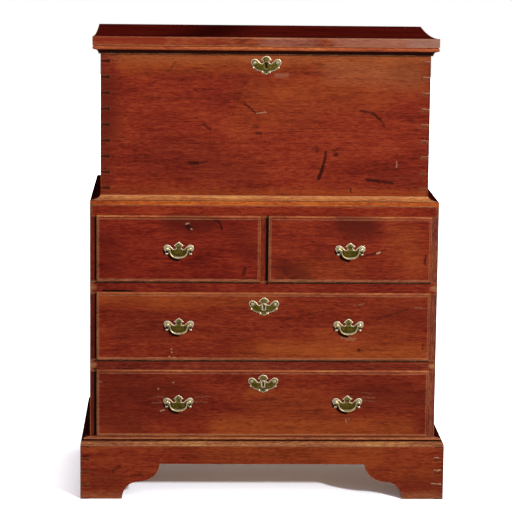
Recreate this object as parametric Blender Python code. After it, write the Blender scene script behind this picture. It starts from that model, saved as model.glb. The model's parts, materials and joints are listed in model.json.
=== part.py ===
"""Mahogany chest-on-chest: a lidded coffer standing on a chest of drawers.

Sizes are in metres. The front faces -Y, the floor is z = 0 and x = 0 is the middle.
"""

import math

import bmesh
import bpy
from mathutils import Matrix, Vector

# Gap between two pieces that touch, and how far a cutter passes the face it leaves
FIT_GAP = 0.0003
CUT_PAST = 0.002

# Carcass of the lower chest
CASE_WIDTH = 1.015
CASE_DEPTH = 0.557
SIDE_THICK = 0.025
SIDE_DROP = 0.035
CASE_TOP_THICK = 0.018
CASE_BOTTOM_THICK = 0.018
CASE_BACK_THICK = 0.012
HOUSING_DEPTH = 0.008
HOUSING_CLEAR = 0.0006
RAIL_DEPTH = 0.060
RAIL_TENON = 0.020
DUSTBOARD_THICK = 0.012
DIVIDER_THICK = 0.033

# Heights of the lower chest, from the floor up
PLINTH_HEIGHT = 0.159
BASE_MOULD_HEIGHT = 0.024
LOWER_OPENING = 0.196
LOWER_RAIL_HEIGHT = 0.033
UPPER_OPENING = 0.198
UPPER_RAIL_HEIGHT = 0.035
SHORT_OPENING = 0.191
TOP_RAIL_HEIGHT = 0.033

# Plinth boards, cut to bracket feet
PLINTH_THICK = 0.027
PLINTH_TAILS = 4
FOOT_WIDTH = 0.122
KNEE_REACH = 0.167
KNEE_HEIGHT = 0.051
BRACKET_REACH = 0.233
APRON_HEIGHT = 0.105

# Base moulding on the plinth: a fillet, an ovolo, a groove and a bead
BASE_FILLET = 0.003
BASE_GROOVE_REACH = 0.014
BASE_BEAD_RADIUS = 0.0038

# Coffer
LEDGE = 0.030
COFFER_HEIGHT = 0.461
COFFER_THICK = 0.022
COFFER_END_THICK = 0.027
COFFER_TAILS = 10
COFFER_BOTTOM_THICK = 0.012
COFFER_BOTTOM_RISE = 0.010
COFFER_GROOVE = 0.008
WAIST_HEIGHT = 0.026
WAIST_LIP = 0.014
WAIST_NOSE = 0.003

# Dovetails: width of a pin at its tip and at its root
PIN_TIP = 0.004
PIN_ROOT = 0.011

# Lid
LID_THICK = 0.026
LID_DISH = 0.010
LID_OVERHANG = 0.0225
LID_MOULD_HEIGHT = 0.025
LID_MOULD_CLEAR = 0.0006
LID_BEAD_HEIGHT = 0.012
LID_COVE_FOOT = 0.005

# Lid hinges
HINGE_SPREAD = 0.300
HINGE_WIDTH = 0.064
CASE_LEAF_LENGTH = 0.045
LID_LEAF_LENGTH = 0.021
LEAF_THICK = 0.002
KNUCKLE_RADIUS = 0.0045
KNUCKLE_LENGTH = 0.022
KNUCKLE_CLEAR = 0.0005
HINGE_PIN_RADIUS = 0.002
HINGE_PIN_CLEAR = 0.0005

# Drawer fronts: a board with a thumb-moulded lip that stands in front of the case
FRONT_THICK = 0.022
LIP_PROUD = 0.009
LIP_SIDE = 0.0055
LIP_TOP = 0.004
LIP_REST = 0.001
LIP_FOOT = 0.001
LIP_ROUND = 0.0055
LIP_STEP = 0.0012
DRAWER_CLEAR = 0.0015

# Drawer boxes
DRAWER_SIDE_THICK = 0.012
DRAWER_BACK_THICK = 0.010
DRAWER_BACK_DROP = 0.006
DRAWER_BOTTOM_THICK = 0.007
DRAWER_BOTTOM_RISE = 0.009
DRAWER_GROOVE = 0.005
DRAWER_TOP_CLEAR = 0.008
DRAWER_END_CLEAR = 0.012
DRAWER_TAILS = 4
DRAWER_LAP = 0.0085

# Locks
LOCK_WIDTH = 0.070
LOCK_HEIGHT = 0.060
LOCK_THICK = 0.012
BOLT_WIDTH = 0.022
BOLT_THICK = 0.006
BOLT_LENGTH = 0.026
BOLT_THROW = 0.008
BOLT_CLEAR = 0.0006
HOOK_WIDTH = 0.006
HOOK_THICK = 0.004
HOOK_DROP = 0.012
HOOK_SPREAD = 0.018
HOOK_CLEAR = 0.0015
STRIKE_WIDTH = 0.060
STRIKE_DEPTH = 0.008
STRIKE_THICK = 0.002

# Keyholes
KEY_RADIUS = 0.0027
KEY_SLOT = 0.003
KEY_DROP = 0.0120
KEYHOLE_RISE = 0.061
COFFER_KEYHOLE_DROP = 0.054

# Brass plates of handles and keyholes. The right half of the outline runs from the top of
# the crest to the foot, in widths and heights about the middle; True marks a sharp corner.
PLATE_THICK = 0.0018
PLATE_HALF = (
    (0.0000, 0.0260, False),
    (0.0085, 0.0222, False),
    (0.0140, 0.0155, True),
    (0.0075, 0.0125, False),
    (0.0082, 0.0078, False),
    (0.0145, 0.0062, True),
    (0.0230, 0.0130, False),
    (0.0330, 0.0185, False),
    (0.0425, 0.0150, False),
    (0.0455, 0.0075, False),
    (0.0420, -0.0010, False),
    (0.0375, -0.0065, True),
    (0.0330, -0.0085, False),
    (0.0285, -0.0125, False),
    (0.0200, -0.0165, False),
    (0.0085, -0.0175, True),
    (0.0130, -0.0225, True),
    (0.0055, -0.0245, False),
    (0.0000, -0.0270, True),
)

# Swinging handles
HANDLE_SPREAD = 0.248
SHORT_HANDLE_DROP = 0.005
POST_SPREAD = 0.033
POST_RISE = 0.006
POST_RADIUS = 0.0036
POST_LENGTH = 0.0125
BAIL_STAND = 0.009
BAIL_RADIUS = 0.0020
BAIL_PIN_RADIUS = 0.0013
BAIL_PIN_CLEAR = 0.0005
BAIL_NECK = 0.0045
BAIL_HANG = 0.034
BAIL_HALF_WIDTH = 0.0245

# Fineness of rounded shapes
ARC_STEPS = 6
LID_STEPS = 10
ROUND_SIDES = 12
PLATE_STEPS = 2
FLAT_ANGLE = 0.0005
WELD_DISTANCE = 0.00002

# Places worked out from the sizes above
CASE_HALF = CASE_WIDTH / 2
INNER_HALF = CASE_HALF - SIDE_THICK
BASE_HALF = CASE_HALF + FIT_GAP + PLINTH_THICK
KNUCKLE_PROUD = FIT_GAP + 2 * KNUCKLE_RADIUS
TOTAL_DEPTH = PLINTH_THICK + FIT_GAP + CASE_DEPTH + KNUCKLE_PROUD
FRONT_Y = -TOTAL_DEPTH / 2
CASE_FRONT_Y = FRONT_Y + PLINTH_THICK + FIT_GAP
BACK_Y = CASE_FRONT_Y + CASE_DEPTH
INNER_BACK_Y = BACK_Y - CASE_BACK_THICK - FIT_GAP
RAIL_BACK_Y = CASE_FRONT_Y + RAIL_DEPTH

FLOOR_Z = PLINTH_HEIGHT + FIT_GAP + BASE_MOULD_HEIGHT
LOWER_RAIL_Z = FLOOR_Z + LOWER_OPENING
UPPER_FLOOR_Z = LOWER_RAIL_Z + LOWER_RAIL_HEIGHT
UPPER_RAIL_Z = UPPER_FLOOR_Z + UPPER_OPENING
SHORT_FLOOR_Z = UPPER_RAIL_Z + UPPER_RAIL_HEIGHT
TOP_RAIL_Z = SHORT_FLOOR_Z + SHORT_OPENING
CASE_TOP_Z = TOP_RAIL_Z + TOP_RAIL_HEIGHT

COFFER_HALF = CASE_HALF - LEDGE
COFFER_FRONT_Y = CASE_FRONT_Y + LEDGE
COFFER_Z = CASE_TOP_Z + FIT_GAP
RIM_Z = COFFER_Z + COFFER_HEIGHT
LID_Z = RIM_Z + FIT_GAP
HINGE_Y = BACK_Y + FIT_GAP + KNUCKLE_RADIUS
HINGE_Z = RIM_Z + FIT_GAP / 2

FACE_Y = CASE_FRONT_Y - LIP_PROUD
FRONT_BACK_Y = FACE_Y + FRONT_THICK
DRAWER_END_Y = INNER_BACK_Y - DRAWER_END_CLEAR
POST_Y = FACE_Y - FIT_GAP - PLATE_THICK - BAIL_STAND

# Turns that stand a flat outline up: facing the front, or facing a side
FACING_FRONT = (math.pi / 2, 0, 0)
FACING_SIDE = (math.pi / 2, 0, math.pi / 2)
LYING_FLAT = (0, 0, 0)

for old in list(bpy.data.objects):
    bpy.data.objects.remove(old, do_unlink=True)

PARTS = bpy.data.collections.new("chest_on_chest")
CUTTERS = bpy.data.collections.new("cutters")
bpy.context.scene.collection.children.link(PARTS)
bpy.context.scene.collection.children.link(CUTTERS)


def finish(name, color, roughness, metallic):
    """One Principled material."""
    material = bpy.data.materials.new(name)
    material.use_nodes = True
    shader = material.node_tree.nodes["Principled BSDF"]
    shader.inputs["Base Color"].default_value = (*color, 1.0)
    shader.inputs["Roughness"].default_value = roughness
    shader.inputs["Metallic"].default_value = metallic
    return material


MAHOGANY = finish("polished_mahogany", (0.190, 0.034, 0.014), 0.32, 0.0)
OAK = finish("plain_oak", (0.310, 0.170, 0.075), 0.60, 0.0)
PINE = finish("dry_pine", (0.250, 0.135, 0.060), 0.70, 0.0)
BRASS = finish("aged_brass", (0.290, 0.220, 0.070), 0.35, 1.0)
IRON = finish("wrought_iron", (0.060, 0.055, 0.050), 0.55, 1.0)


def seat(carrier):
    """World place of a carrier, added up along its parents."""
    place = Vector((0, 0, 0))
    while carrier:
        place += carrier.location
        carrier = carrier.parent
    return place


def add_carrier(name, at, parent=None):
    """Empty on a joint's axis, which carries the pieces that move together."""
    empty = bpy.data.objects.new(name, None)
    PARTS.objects.link(empty)
    empty.parent = parent
    empty.location = Vector(at) - seat(parent)
    return empty


def add_piece(name, mesh, at, material, carrier=None, turn=LYING_FLAT):
    """One finished piece of the object."""
    piece = bpy.data.objects.new(name, mesh)
    PARTS.objects.link(piece)
    piece.parent = carrier
    piece.location = Vector(at) - seat(carrier)
    piece.rotation_euler = turn
    mesh.materials.append(material)
    return piece


def add_cutter(name, mesh, at, carrier=None, turn=LYING_FLAT):
    """A hidden shape that is cut from pieces or joined to them."""
    cutter = bpy.data.objects.new(name, mesh)
    CUTTERS.objects.link(cutter)
    cutter.parent = carrier
    cutter.location = Vector(at) - seat(carrier)
    cutter.rotation_euler = turn
    cutter.hide_render = True
    cutter.display_type = "WIRE"
    return cutter


def combine(piece, operation, tools):
    for tool in tools:
        step = piece.modifiers.new(tool.name, "BOOLEAN")
        step.operation = operation
        step.object = tool


def cut(piece, *cutters):
    combine(piece, "DIFFERENCE", cutters)


def join(piece, *others):
    combine(piece, "UNION", others)


def box_mesh(name, size):
    """A box about its own middle."""
    mesh = bpy.data.meshes.new(name)
    bm = bmesh.new()
    bmesh.ops.create_cube(bm, size=1.0, matrix=Matrix.Diagonal((*size, 1.0)))
    bm.to_mesh(mesh)
    bm.free()
    return mesh


def board(name, low, high, material, carrier=None):
    """A plain board between two corners."""
    low = Vector(low)
    high = Vector(high)
    return add_piece(name, box_mesh(name, high - low), (low + high) / 2, material, carrier)


def box_cutter(name, low, high, grow=0.0, carrier=None):
    """A box between two corners, larger all round by grow."""
    margin = Vector((grow, grow, grow))
    low = Vector(low) - margin
    high = Vector(high) + margin
    return add_cutter(name, box_mesh(name, high - low), (low + high) / 2, carrier)


def rod_mesh(name, radius, length, axis):
    """A round rod about its own middle, along X or Y."""
    mesh = bpy.data.meshes.new(name)
    bm = bmesh.new()
    turn = Matrix.Rotation(math.pi / 2, 4, "Y" if axis == "X" else "X")
    turn = turn @ Matrix.Rotation(math.pi / ROUND_SIDES, 4, "Z")
    bmesh.ops.create_cone(bm, cap_ends=True, segments=ROUND_SIDES, radius1=radius, radius2=radius,
                          depth=length, matrix=turn)
    bm.to_mesh(mesh)
    bm.free()
    return mesh


def solid_from_curve(curve):
    """Closed mesh of a filled curve, with its caps welded on."""
    holder = bpy.data.objects.new(curve.name, curve)
    CUTTERS.objects.link(holder)
    shown = holder.evaluated_get(bpy.context.evaluated_depsgraph_get())
    mesh = bpy.data.meshes.new_from_object(shown)
    bpy.data.objects.remove(holder, do_unlink=True)
    bm = bmesh.new()
    bm.from_mesh(mesh)
    bmesh.ops.remove_doubles(bm, verts=bm.verts, dist=WELD_DISTANCE)
    bmesh.ops.dissolve_degenerate(bm, dist=WELD_DISTANCE, edges=bm.edges)
    bmesh.ops.recalc_face_normals(bm, faces=bm.faces)
    bmesh.ops.dissolve_limit(bm, angle_limit=FLAT_ANGLE, verts=bm.verts, edges=bm.edges)
    bm.to_mesh(mesh)
    bm.free()
    return mesh


def flat_curve(name, thick):
    """An empty flat outline that will be filled to the given thickness."""
    curve = bpy.data.curves.new(name, "CURVE")
    curve.dimensions = "2D"
    curve.fill_mode = "BOTH"
    curve.extrude = thick / 2
    return curve


def add_loop(curve, points):
    """A closed loop of straight lines on a flat outline."""
    spline = curve.splines.new("POLY")
    spline.points.add(len(points) - 1)
    for point, (across, up) in zip(spline.points, points):
        point.co = (across, up, 0, 1)
    spline.use_cyclic_u = True


def outline_mesh(name, points, thick):
    """A flat outline of straight lines, filled to the given thickness."""
    curve = flat_curve(name, thick)
    add_loop(curve, points)
    return solid_from_curve(curve)


def loft_mesh(name, rings):
    """A closed skin through rings of like points, capped at both ends."""
    mesh = bpy.data.meshes.new(name)
    bm = bmesh.new()
    loops = []
    for ring in rings:
        loops.append([bm.verts.new(point) for point in ring])
    count = len(loops[0])
    for near, far in zip(loops, loops[1:]):
        for k in range(count):
            after = (k + 1) % count
            bm.faces.new((near[k], near[after], far[after], far[k]))
    bm.faces.new(loops[0])
    bm.faces.new(loops[-1])
    bmesh.ops.recalc_face_normals(bm, faces=bm.faces)
    bm.to_mesh(mesh)
    bm.free()
    return mesh


def quarter(steps):
    """Sine and cosine pairs along a quarter turn, from 0 to 90 degrees."""
    turns = [math.pi / 2 * k / steps for k in range(steps + 1)]
    return [(math.sin(turn), math.cos(turn)) for turn in turns]


def mitred_moulding(name, section, half, front_y, material, carrier=None):
    """A moulding round the left, front and right of a box, from the back and mitred at the corners.

    The section is a closed line of (distance out from the box, height) points.
    """
    stations = (
        (-half, BACK_Y, -1, 0),
        (-half, front_y, -1, -1),
        (half, front_y, 1, -1),
        (half, BACK_Y, 1, 0),
    )
    start = seat(carrier)
    rings = []
    for x, y, side, ahead in stations:
        ring = [Vector((x + side * out, y + ahead * out, z)) - start for out, z in section]
        rings.append(ring)
    return add_piece(name, loft_mesh(name, rings), start, material, carrier)


def tail_line(low, high, count, root, tip, grow=0.0):
    """End of a tail board from low to high: tails reach the tip, half pins stand at both ends."""
    pitch = (high - low) / count
    line = [(root, low - grow)]
    for k in range(count):
        under = low + k * pitch
        over = under + pitch
        line.append((root, under + PIN_ROOT / 2 - grow))
        line.append((tip, under + PIN_TIP / 2 - grow))
        line.append((tip, over - PIN_TIP / 2 + grow))
        line.append((root, over - PIN_ROOT / 2 + grow))
    line.append((root, high + grow))
    return line


def mirrored(line):
    """The same line on the left side, run the other way."""
    return [(-across, up) for across, up in reversed(line)]


def keyhole_loop():
    """Round eye with a slot below it, about the middle of the eye."""
    lean = math.asin(KEY_SLOT / 2 / KEY_RADIUS)
    start = lean - math.pi / 2
    sweep = 2 * (math.pi - lean)
    loop = []
    for k in range(ROUND_SIDES + 1):
        turn = start + sweep * k / ROUND_SIDES
        loop.append((KEY_RADIUS * math.cos(turn), KEY_RADIUS * math.sin(turn)))
    loop.append((-KEY_SLOT / 2, -KEY_DROP))
    loop.append((KEY_SLOT / 2, -KEY_DROP))
    return loop


def plate_mesh(name, keyhole):
    """The brass plate with wings and crests, with or without a keyhole."""
    curve = flat_curve(name, PLATE_THICK)
    curve.resolution_u = PLATE_STEPS
    right = [(across, up, sharp) for across, up, sharp in PLATE_HALF]
    left = [(-across, up, sharp) for across, up, sharp in reversed(PLATE_HALF[1:-1])]
    outline = right + left
    spline = curve.splines.new("BEZIER")
    spline.bezier_points.add(len(outline) - 1)
    for point, (across, up, sharp) in zip(spline.bezier_points, outline):
        point.co = (across, up, 0)
        point.handle_left_type = "VECTOR" if sharp else "AUTO"
        point.handle_right_type = "VECTOR" if sharp else "AUTO"
    spline.use_cyclic_u = True
    if keyhole:
        add_loop(curve, keyhole_loop())
    return solid_from_curve(curve)


def bracket_line():
    """Ogee edge of a bracket foot: reach from the board's end and height, from the foot upward."""
    line = []
    for rise, run in quarter(ARC_STEPS):
        line.append((KNEE_REACH - (KNEE_REACH - FOOT_WIDTH) * run, KNEE_HEIGHT * rise))
    for rise, run in quarter(ARC_STEPS)[1:]:
        reach = KNEE_REACH + (BRACKET_REACH - KNEE_REACH) * rise
        line.append((reach, APRON_HEIGHT - (APRON_HEIGHT - KNEE_HEIGHT) * run))
    return line


def arch_line(low, high):
    """Lower edge of a plinth board between its two ends, from low to high."""
    first = [(low + reach, height) for reach, height in bracket_line()]
    last = [(high - reach, height) for reach, height in reversed(bracket_line())]
    return first + last


def build_plinth():
    """Three plinth boards with bracket feet, dovetailed at the front corners."""
    root = BASE_HALF - PLINTH_THICK
    ends = tail_line(0, PLINTH_HEIGHT, PLINTH_TAILS, root, BASE_HALF)
    front_line = ends + mirrored(ends) + arch_line(-BASE_HALF, BASE_HALF)
    front_at = (0, FRONT_Y + PLINTH_THICK / 2, 0)
    front_mesh = outline_mesh("base_front", front_line, PLINTH_THICK)
    add_piece("base_front", front_mesh, front_at, MAHOGANY, None, FACING_FRONT)

    wide = tail_line(0, PLINTH_HEIGHT, PLINTH_TAILS, root + FIT_GAP, BASE_HALF + CUT_PAST, FIT_GAP)
    thick = PLINTH_THICK + CUT_PAST + FIT_GAP
    tails_mesh = outline_mesh("base_tails", wide + mirrored(wide), thick)
    tails_at = (0, FRONT_Y - CUT_PAST + thick / 2, 0)
    tails = add_cutter("base_tails", tails_mesh, tails_at, None, FACING_FRONT)

    side_line = [(BACK_Y, 0), (BACK_Y, PLINTH_HEIGHT), (FRONT_Y, PLINTH_HEIGHT), (FRONT_Y, 0)]
    side_line += arch_line(FRONT_Y, BACK_Y)
    for name, side in (("base_left", -1), ("base_right", 1)):
        at = (side * (BASE_HALF - PLINTH_THICK / 2), 0, 0)
        mesh = outline_mesh(name, side_line, PLINTH_THICK)
        cut(add_piece(name, mesh, at, MAHOGANY, None, FACING_SIDE), tails)


def build_base_moulding():
    """Moulding on the plinth: fillet and ovolo below, groove, and a bead against the case."""
    low = PLINTH_HEIGHT + FIT_GAP
    bead_z = FLOOR_Z - BASE_BEAD_RADIUS
    groove_z = bead_z - BASE_BEAD_RADIUS
    section = [(FIT_GAP, low), (PLINTH_THICK, low)]
    for rise, run in quarter(ARC_STEPS):
        out = BASE_GROOVE_REACH + (PLINTH_THICK - BASE_GROOVE_REACH) * run
        section.append((out, low + BASE_FILLET + (groove_z - low - BASE_FILLET) * rise))
    for k in range(1, ARC_STEPS + 1):
        turn = math.pi * k / ARC_STEPS
        out = BASE_GROOVE_REACH + BASE_BEAD_RADIUS * math.sin(turn)
        section.append((out, bead_z - BASE_BEAD_RADIUS * math.cos(turn)))
    section.append((FIT_GAP, FLOOR_Z))
    mitred_moulding("base_moulding", section, CASE_HALF, CASE_FRONT_Y, MAHOGANY)


def build_case():
    """Sides, top, bottom, back, rails, dust boards and divider of the lower chest."""
    tenon_half = INNER_HALF + RAIL_TENON
    housed_half = INNER_HALF + HOUSING_DEPTH
    behind_rail = RAIL_BACK_Y + FIT_GAP
    spans = {
        "top_rail": (tenon_half, CASE_FRONT_Y, RAIL_BACK_Y, TOP_RAIL_Z, CASE_TOP_Z),
        "upper_rail": (tenon_half, CASE_FRONT_Y, RAIL_BACK_Y, UPPER_RAIL_Z, SHORT_FLOOR_Z),
        "lower_rail": (tenon_half, CASE_FRONT_Y, RAIL_BACK_Y, LOWER_RAIL_Z, UPPER_FLOOR_Z),
        "case_top": (housed_half, behind_rail, INNER_BACK_Y, CASE_TOP_Z - CASE_TOP_THICK, CASE_TOP_Z),
        "upper_dustboard": (housed_half, behind_rail, INNER_BACK_Y,
                            SHORT_FLOOR_Z - DUSTBOARD_THICK, SHORT_FLOOR_Z),
        "lower_dustboard": (housed_half, behind_rail, INNER_BACK_Y,
                            UPPER_FLOOR_Z - DUSTBOARD_THICK, UPPER_FLOOR_Z),
        "case_bottom": (housed_half, CASE_FRONT_Y, INNER_BACK_Y,
                        FLOOR_Z - CASE_BOTTOM_THICK, FLOOR_Z),
    }
    hidden = ("case_top", "upper_dustboard", "lower_dustboard", "case_bottom")
    boards = {}
    housings = []
    for name, (half, front, back, low, high) in spans.items():
        material = PINE if name in hidden else MAHOGANY
        boards[name] = board(name, (-half, front, low), (half, back, high), material)
        clear = HOUSING_CLEAR if name in hidden else FIT_GAP
        housings.append(box_cutter(name + "_housing", (-half, front, low), (half, back, high), clear))

    foot_z = PLINTH_HEIGHT - SIDE_DROP
    for name, side in (("case_left_side", -1), ("case_right_side", 1)):
        inner = side * INNER_HALF
        outer = side * CASE_HALF
        low = (min(inner, outer), CASE_FRONT_Y, foot_z)
        high = (max(inner, outer), BACK_Y, CASE_TOP_Z)
        cut(board(name, low, high, MAHOGANY), *housings)

    back_half = INNER_HALF - FIT_GAP
    back_low = (-back_half, BACK_Y - CASE_BACK_THICK, FLOOR_Z - CASE_BOTTOM_THICK)
    board("case_back", back_low, (back_half, BACK_Y, CASE_TOP_Z), PINE)

    rail_low = SHORT_FLOOR_Z + FIT_GAP
    rail_high = TOP_RAIL_Z - FIT_GAP
    roof = CASE_TOP_Z - CASE_TOP_THICK - FIT_GAP
    divider_line = [
        (CASE_FRONT_Y, rail_low),
        (INNER_BACK_Y, rail_low),
        (INNER_BACK_Y, roof),
        (behind_rail, roof),
        (behind_rail, rail_high),
        (CASE_FRONT_Y, rail_high),
    ]
    divider_mesh = outline_mesh("drawer_divider", divider_line, DIVIDER_THICK)
    add_piece("drawer_divider", divider_mesh, (0, 0, 0), MAHOGANY, None, FACING_SIDE)
    return boards


def build_coffer():
    """The four dovetailed boards of the coffer, its bottom and the moulding round its foot."""
    root = COFFER_HALF - COFFER_END_THICK
    ends = tail_line(COFFER_Z, RIM_Z, COFFER_TAILS, root, COFFER_HALF)
    wide = tail_line(COFFER_Z, RIM_Z, COFFER_TAILS, root + FIT_GAP, COFFER_HALF + CUT_PAST, FIT_GAP)
    thick = COFFER_THICK + CUT_PAST + FIT_GAP

    floor_half = root + COFFER_GROOVE
    floor_front = COFFER_FRONT_Y + COFFER_THICK - COFFER_GROOVE
    floor_back = BACK_Y - COFFER_THICK + COFFER_GROOVE
    floor_z = COFFER_Z + COFFER_BOTTOM_RISE
    floor_low = (-floor_half, floor_front, floor_z)
    floor_high = (floor_half, floor_back, floor_z + COFFER_BOTTOM_THICK)
    board("coffer_bottom", floor_low, floor_high, PINE)
    groove = box_cutter("coffer_groove", floor_low, floor_high, FIT_GAP)

    boards = {}
    tails = []
    front_cut_y = COFFER_FRONT_Y - CUT_PAST + thick / 2
    back_cut_y = BACK_Y + CUT_PAST - thick / 2
    places = (
        ("coffer_front", COFFER_FRONT_Y + COFFER_THICK / 2, front_cut_y, MAHOGANY),
        ("coffer_back", BACK_Y - COFFER_THICK / 2, back_cut_y, MAHOGANY),
    )
    for name, y, cut_y, material in places:
        mesh = outline_mesh(name, ends + mirrored(ends), COFFER_THICK)
        boards[name] = add_piece(name, mesh, (0, y, 0), material, None, FACING_FRONT)
        cut(boards[name], groove)
        tails_mesh = outline_mesh(name + "_tails", wide + mirrored(wide), thick)
        tails.append(add_cutter(name + "_tails", tails_mesh, (0, cut_y, 0), None, FACING_FRONT))

    for name, side in (("coffer_left_end", -1), ("coffer_right_end", 1)):
        inner = side * root
        outer = side * COFFER_HALF
        low = (min(inner, outer), COFFER_FRONT_Y, COFFER_Z)
        high = (max(inner, outer), BACK_Y, RIM_Z)
        cut(board(name, low, high, MAHOGANY), groove, *tails)

    section = [(FIT_GAP, COFFER_Z), (LEDGE, COFFER_Z), (LEDGE, COFFER_Z + WAIST_LIP - WAIST_NOSE)]
    nose = LEDGE - WAIST_NOSE
    for rise, run in quarter(ARC_STEPS // 2)[1:]:
        section.append((nose + WAIST_NOSE * run, COFFER_Z + WAIST_LIP - WAIST_NOSE * (1 - rise)))
    for rise, run in quarter(ARC_STEPS)[1:]:
        out = FIT_GAP + (nose - FIT_GAP) * (1 - rise)
        section.append((out, COFFER_Z + WAIST_HEIGHT - (WAIST_HEIGHT - WAIST_LIP) * run))
    mitred_moulding("waist_moulding", section, COFFER_HALF, COFFER_FRONT_Y, MAHOGANY)
    return boards


def leaf_line(length):
    """Section of a hinge leaf that hangs from its knuckle, about the hinge axis."""
    inner = -KNUCKLE_RADIUS
    outer = inner + LEAF_THICK
    start = math.asin(outer / KNUCKLE_RADIUS)
    line = [(inner, 0), (inner, -length), (outer, -length)]
    sweep = math.pi - start
    for k in range(ROUND_SIDES):
        turn = start + sweep * k / ROUND_SIDES
        line.append((KNUCKLE_RADIUS * math.sin(turn), -KNUCKLE_RADIUS * math.cos(turn)))
    for rise, run in quarter(ARC_STEPS)[:-1]:
        line.append((-KNUCKLE_RADIUS * rise, KNUCKLE_RADIUS * run))
    return line


def build_hinge(name, x, lid):
    """Two leaves on the back; the lower one holds the pin, the upper one turns on it."""
    axis = (x, HINGE_Y, HINGE_Z)
    past = KNUCKLE_RADIUS + CUT_PAST
    eye_half = KNUCKLE_LENGTH / 2
    leaf_half = HINGE_WIDTH / 2
    room = KNUCKLE_RADIUS + KNUCKLE_CLEAR

    case_mesh = outline_mesh(name + "_case_leaf", leaf_line(CASE_LEAF_LENGTH), HINGE_WIDTH)
    case_leaf = add_piece(name + "_case_leaf", case_mesh, axis, BRASS, None, FACING_SIDE)
    gap_half = eye_half + KNUCKLE_CLEAR
    gap_low = (x - gap_half, HINGE_Y - past, HINGE_Z - room)
    gap_high = (x + gap_half, HINGE_Y + past, HINGE_Z + past)
    cut(case_leaf, box_cutter(name + "_eye_gap", gap_low, gap_high))
    pin_mesh = rod_mesh(name + "_pin", HINGE_PIN_RADIUS, HINGE_WIDTH - CUT_PAST, "X")
    join(case_leaf, add_cutter(name + "_pin", pin_mesh, axis))

    lid_line = [(across, -up) for across, up in reversed(leaf_line(LID_LEAF_LENGTH))]
    lid_mesh = outline_mesh(name + "_lid_leaf", lid_line, HINGE_WIDTH)
    lid_leaf = add_piece(name + "_lid_leaf", lid_mesh, axis, BRASS, lid, FACING_SIDE)
    for end in (-1, 1):
        near = x + end * eye_half
        far = x + end * (leaf_half + CUT_PAST)
        low = (min(near, far), HINGE_Y - past, HINGE_Z - past)
        high = (max(near, far), HINGE_Y + past, HINGE_Z + room)
        cut(lid_leaf, box_cutter(name + "_end_gap", low, high, 0.0, lid))
    bore_mesh = rod_mesh(name + "_bore", HINGE_PIN_RADIUS + HINGE_PIN_CLEAR, HINGE_WIDTH, "X")
    cut(lid_leaf, add_cutter(name + "_bore", bore_mesh, axis, lid))


def build_lid():
    """Dished lid board, the bed moulding under its edges, its lock plate and the hinges."""
    lid = add_carrier("lid", (0, HINGE_Y, HINGE_Z))
    front_y = COFFER_FRONT_Y - LID_OVERHANG
    middle = (front_y + BACK_Y) / 2
    half_depth = (BACK_Y - front_y) / 2
    line = [(BACK_Y, LID_Z), (front_y, LID_Z)]
    for k in range(LID_STEPS + 1):
        share = 2 * k / LID_STEPS - 1
        line.insert(2 + k, (middle + share * half_depth, LID_Z + LID_THICK - LID_DISH * (1 - share ** 2)))
    mesh = outline_mesh("lid_board", line[1:] + line[:1], 2 * (COFFER_HALF + LID_OVERHANG))
    lid_board = add_piece("lid_board", mesh, (0, 0, 0), MAHOGANY, lid, FACING_SIDE)

    high = RIM_Z
    low = high - LID_MOULD_HEIGHT
    bead = LID_BEAD_HEIGHT / 2
    bead_reach = LID_OVERHANG - bead
    section = [(LID_MOULD_CLEAR, low), (LID_MOULD_CLEAR + LID_COVE_FOOT, low)]
    cove_run = bead_reach - LID_MOULD_CLEAR - LID_COVE_FOOT
    cove_rise = LID_MOULD_HEIGHT - LID_BEAD_HEIGHT
    for rise, run in quarter(ARC_STEPS)[1:]:
        section.append((LID_MOULD_CLEAR + LID_COVE_FOOT + cove_run * (1 - run), low + cove_rise * rise))
    for k in range(1, ARC_STEPS + 1):
        turn = math.pi * k / ARC_STEPS
        section.append((bead_reach + bead * math.sin(turn), high - bead - bead * math.cos(turn)))
    section.append((LID_MOULD_CLEAR, high))
    mitred_moulding("lid_moulding", section, COFFER_HALF, COFFER_FRONT_Y, MAHOGANY, lid)

    strike_y = COFFER_FRONT_Y + COFFER_THICK + FIT_GAP + LOCK_THICK / 2
    strike_low = Vector((-STRIKE_WIDTH / 2, strike_y - STRIKE_DEPTH / 2, LID_Z))
    strike_high = Vector((STRIKE_WIDTH / 2, strike_y + STRIKE_DEPTH / 2, LID_Z + STRIKE_THICK))
    strike = board("lid_lock_plate", strike_low, strike_high, BRASS, lid)
    for side in (-1, 1):
        hook_x = side * HOOK_SPREAD
        hook_low = (hook_x - HOOK_WIDTH / 2, strike_y - HOOK_THICK / 2, LID_Z - HOOK_DROP)
        hook_high = (hook_x + HOOK_WIDTH / 2, strike_y + HOOK_THICK / 2, LID_Z + STRIKE_THICK / 2)
        join(strike, box_cutter("lid_lock_hook", hook_low, hook_high, 0.0, lid))
    recess_low = strike_low - Vector((0, 0, CUT_PAST))
    cut(lid_board, box_cutter("lid_lock_recess", recess_low, strike_high, FIT_GAP, lid))

    for name, side in (("left_hinge", -1), ("right_hinge", 1)):
        build_hinge(name, side * HINGE_SPREAD, lid)


def cut_keyhole(board_piece, name, x, y, z, depth, carrier=None):
    """A keyhole right through a board."""
    curve = flat_curve(name, depth)
    add_loop(curve, keyhole_loop())
    cut(board_piece, add_cutter(name, solid_from_curve(curve), (x, y, z), carrier, FACING_FRONT))


def add_keyhole_plate(name, x, face_y, z, carrier=None):
    at = (x, face_y - FIT_GAP - PLATE_THICK / 2, z)
    add_piece(name, plate_mesh(name, True), at, BRASS, carrier, FACING_FRONT)


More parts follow.
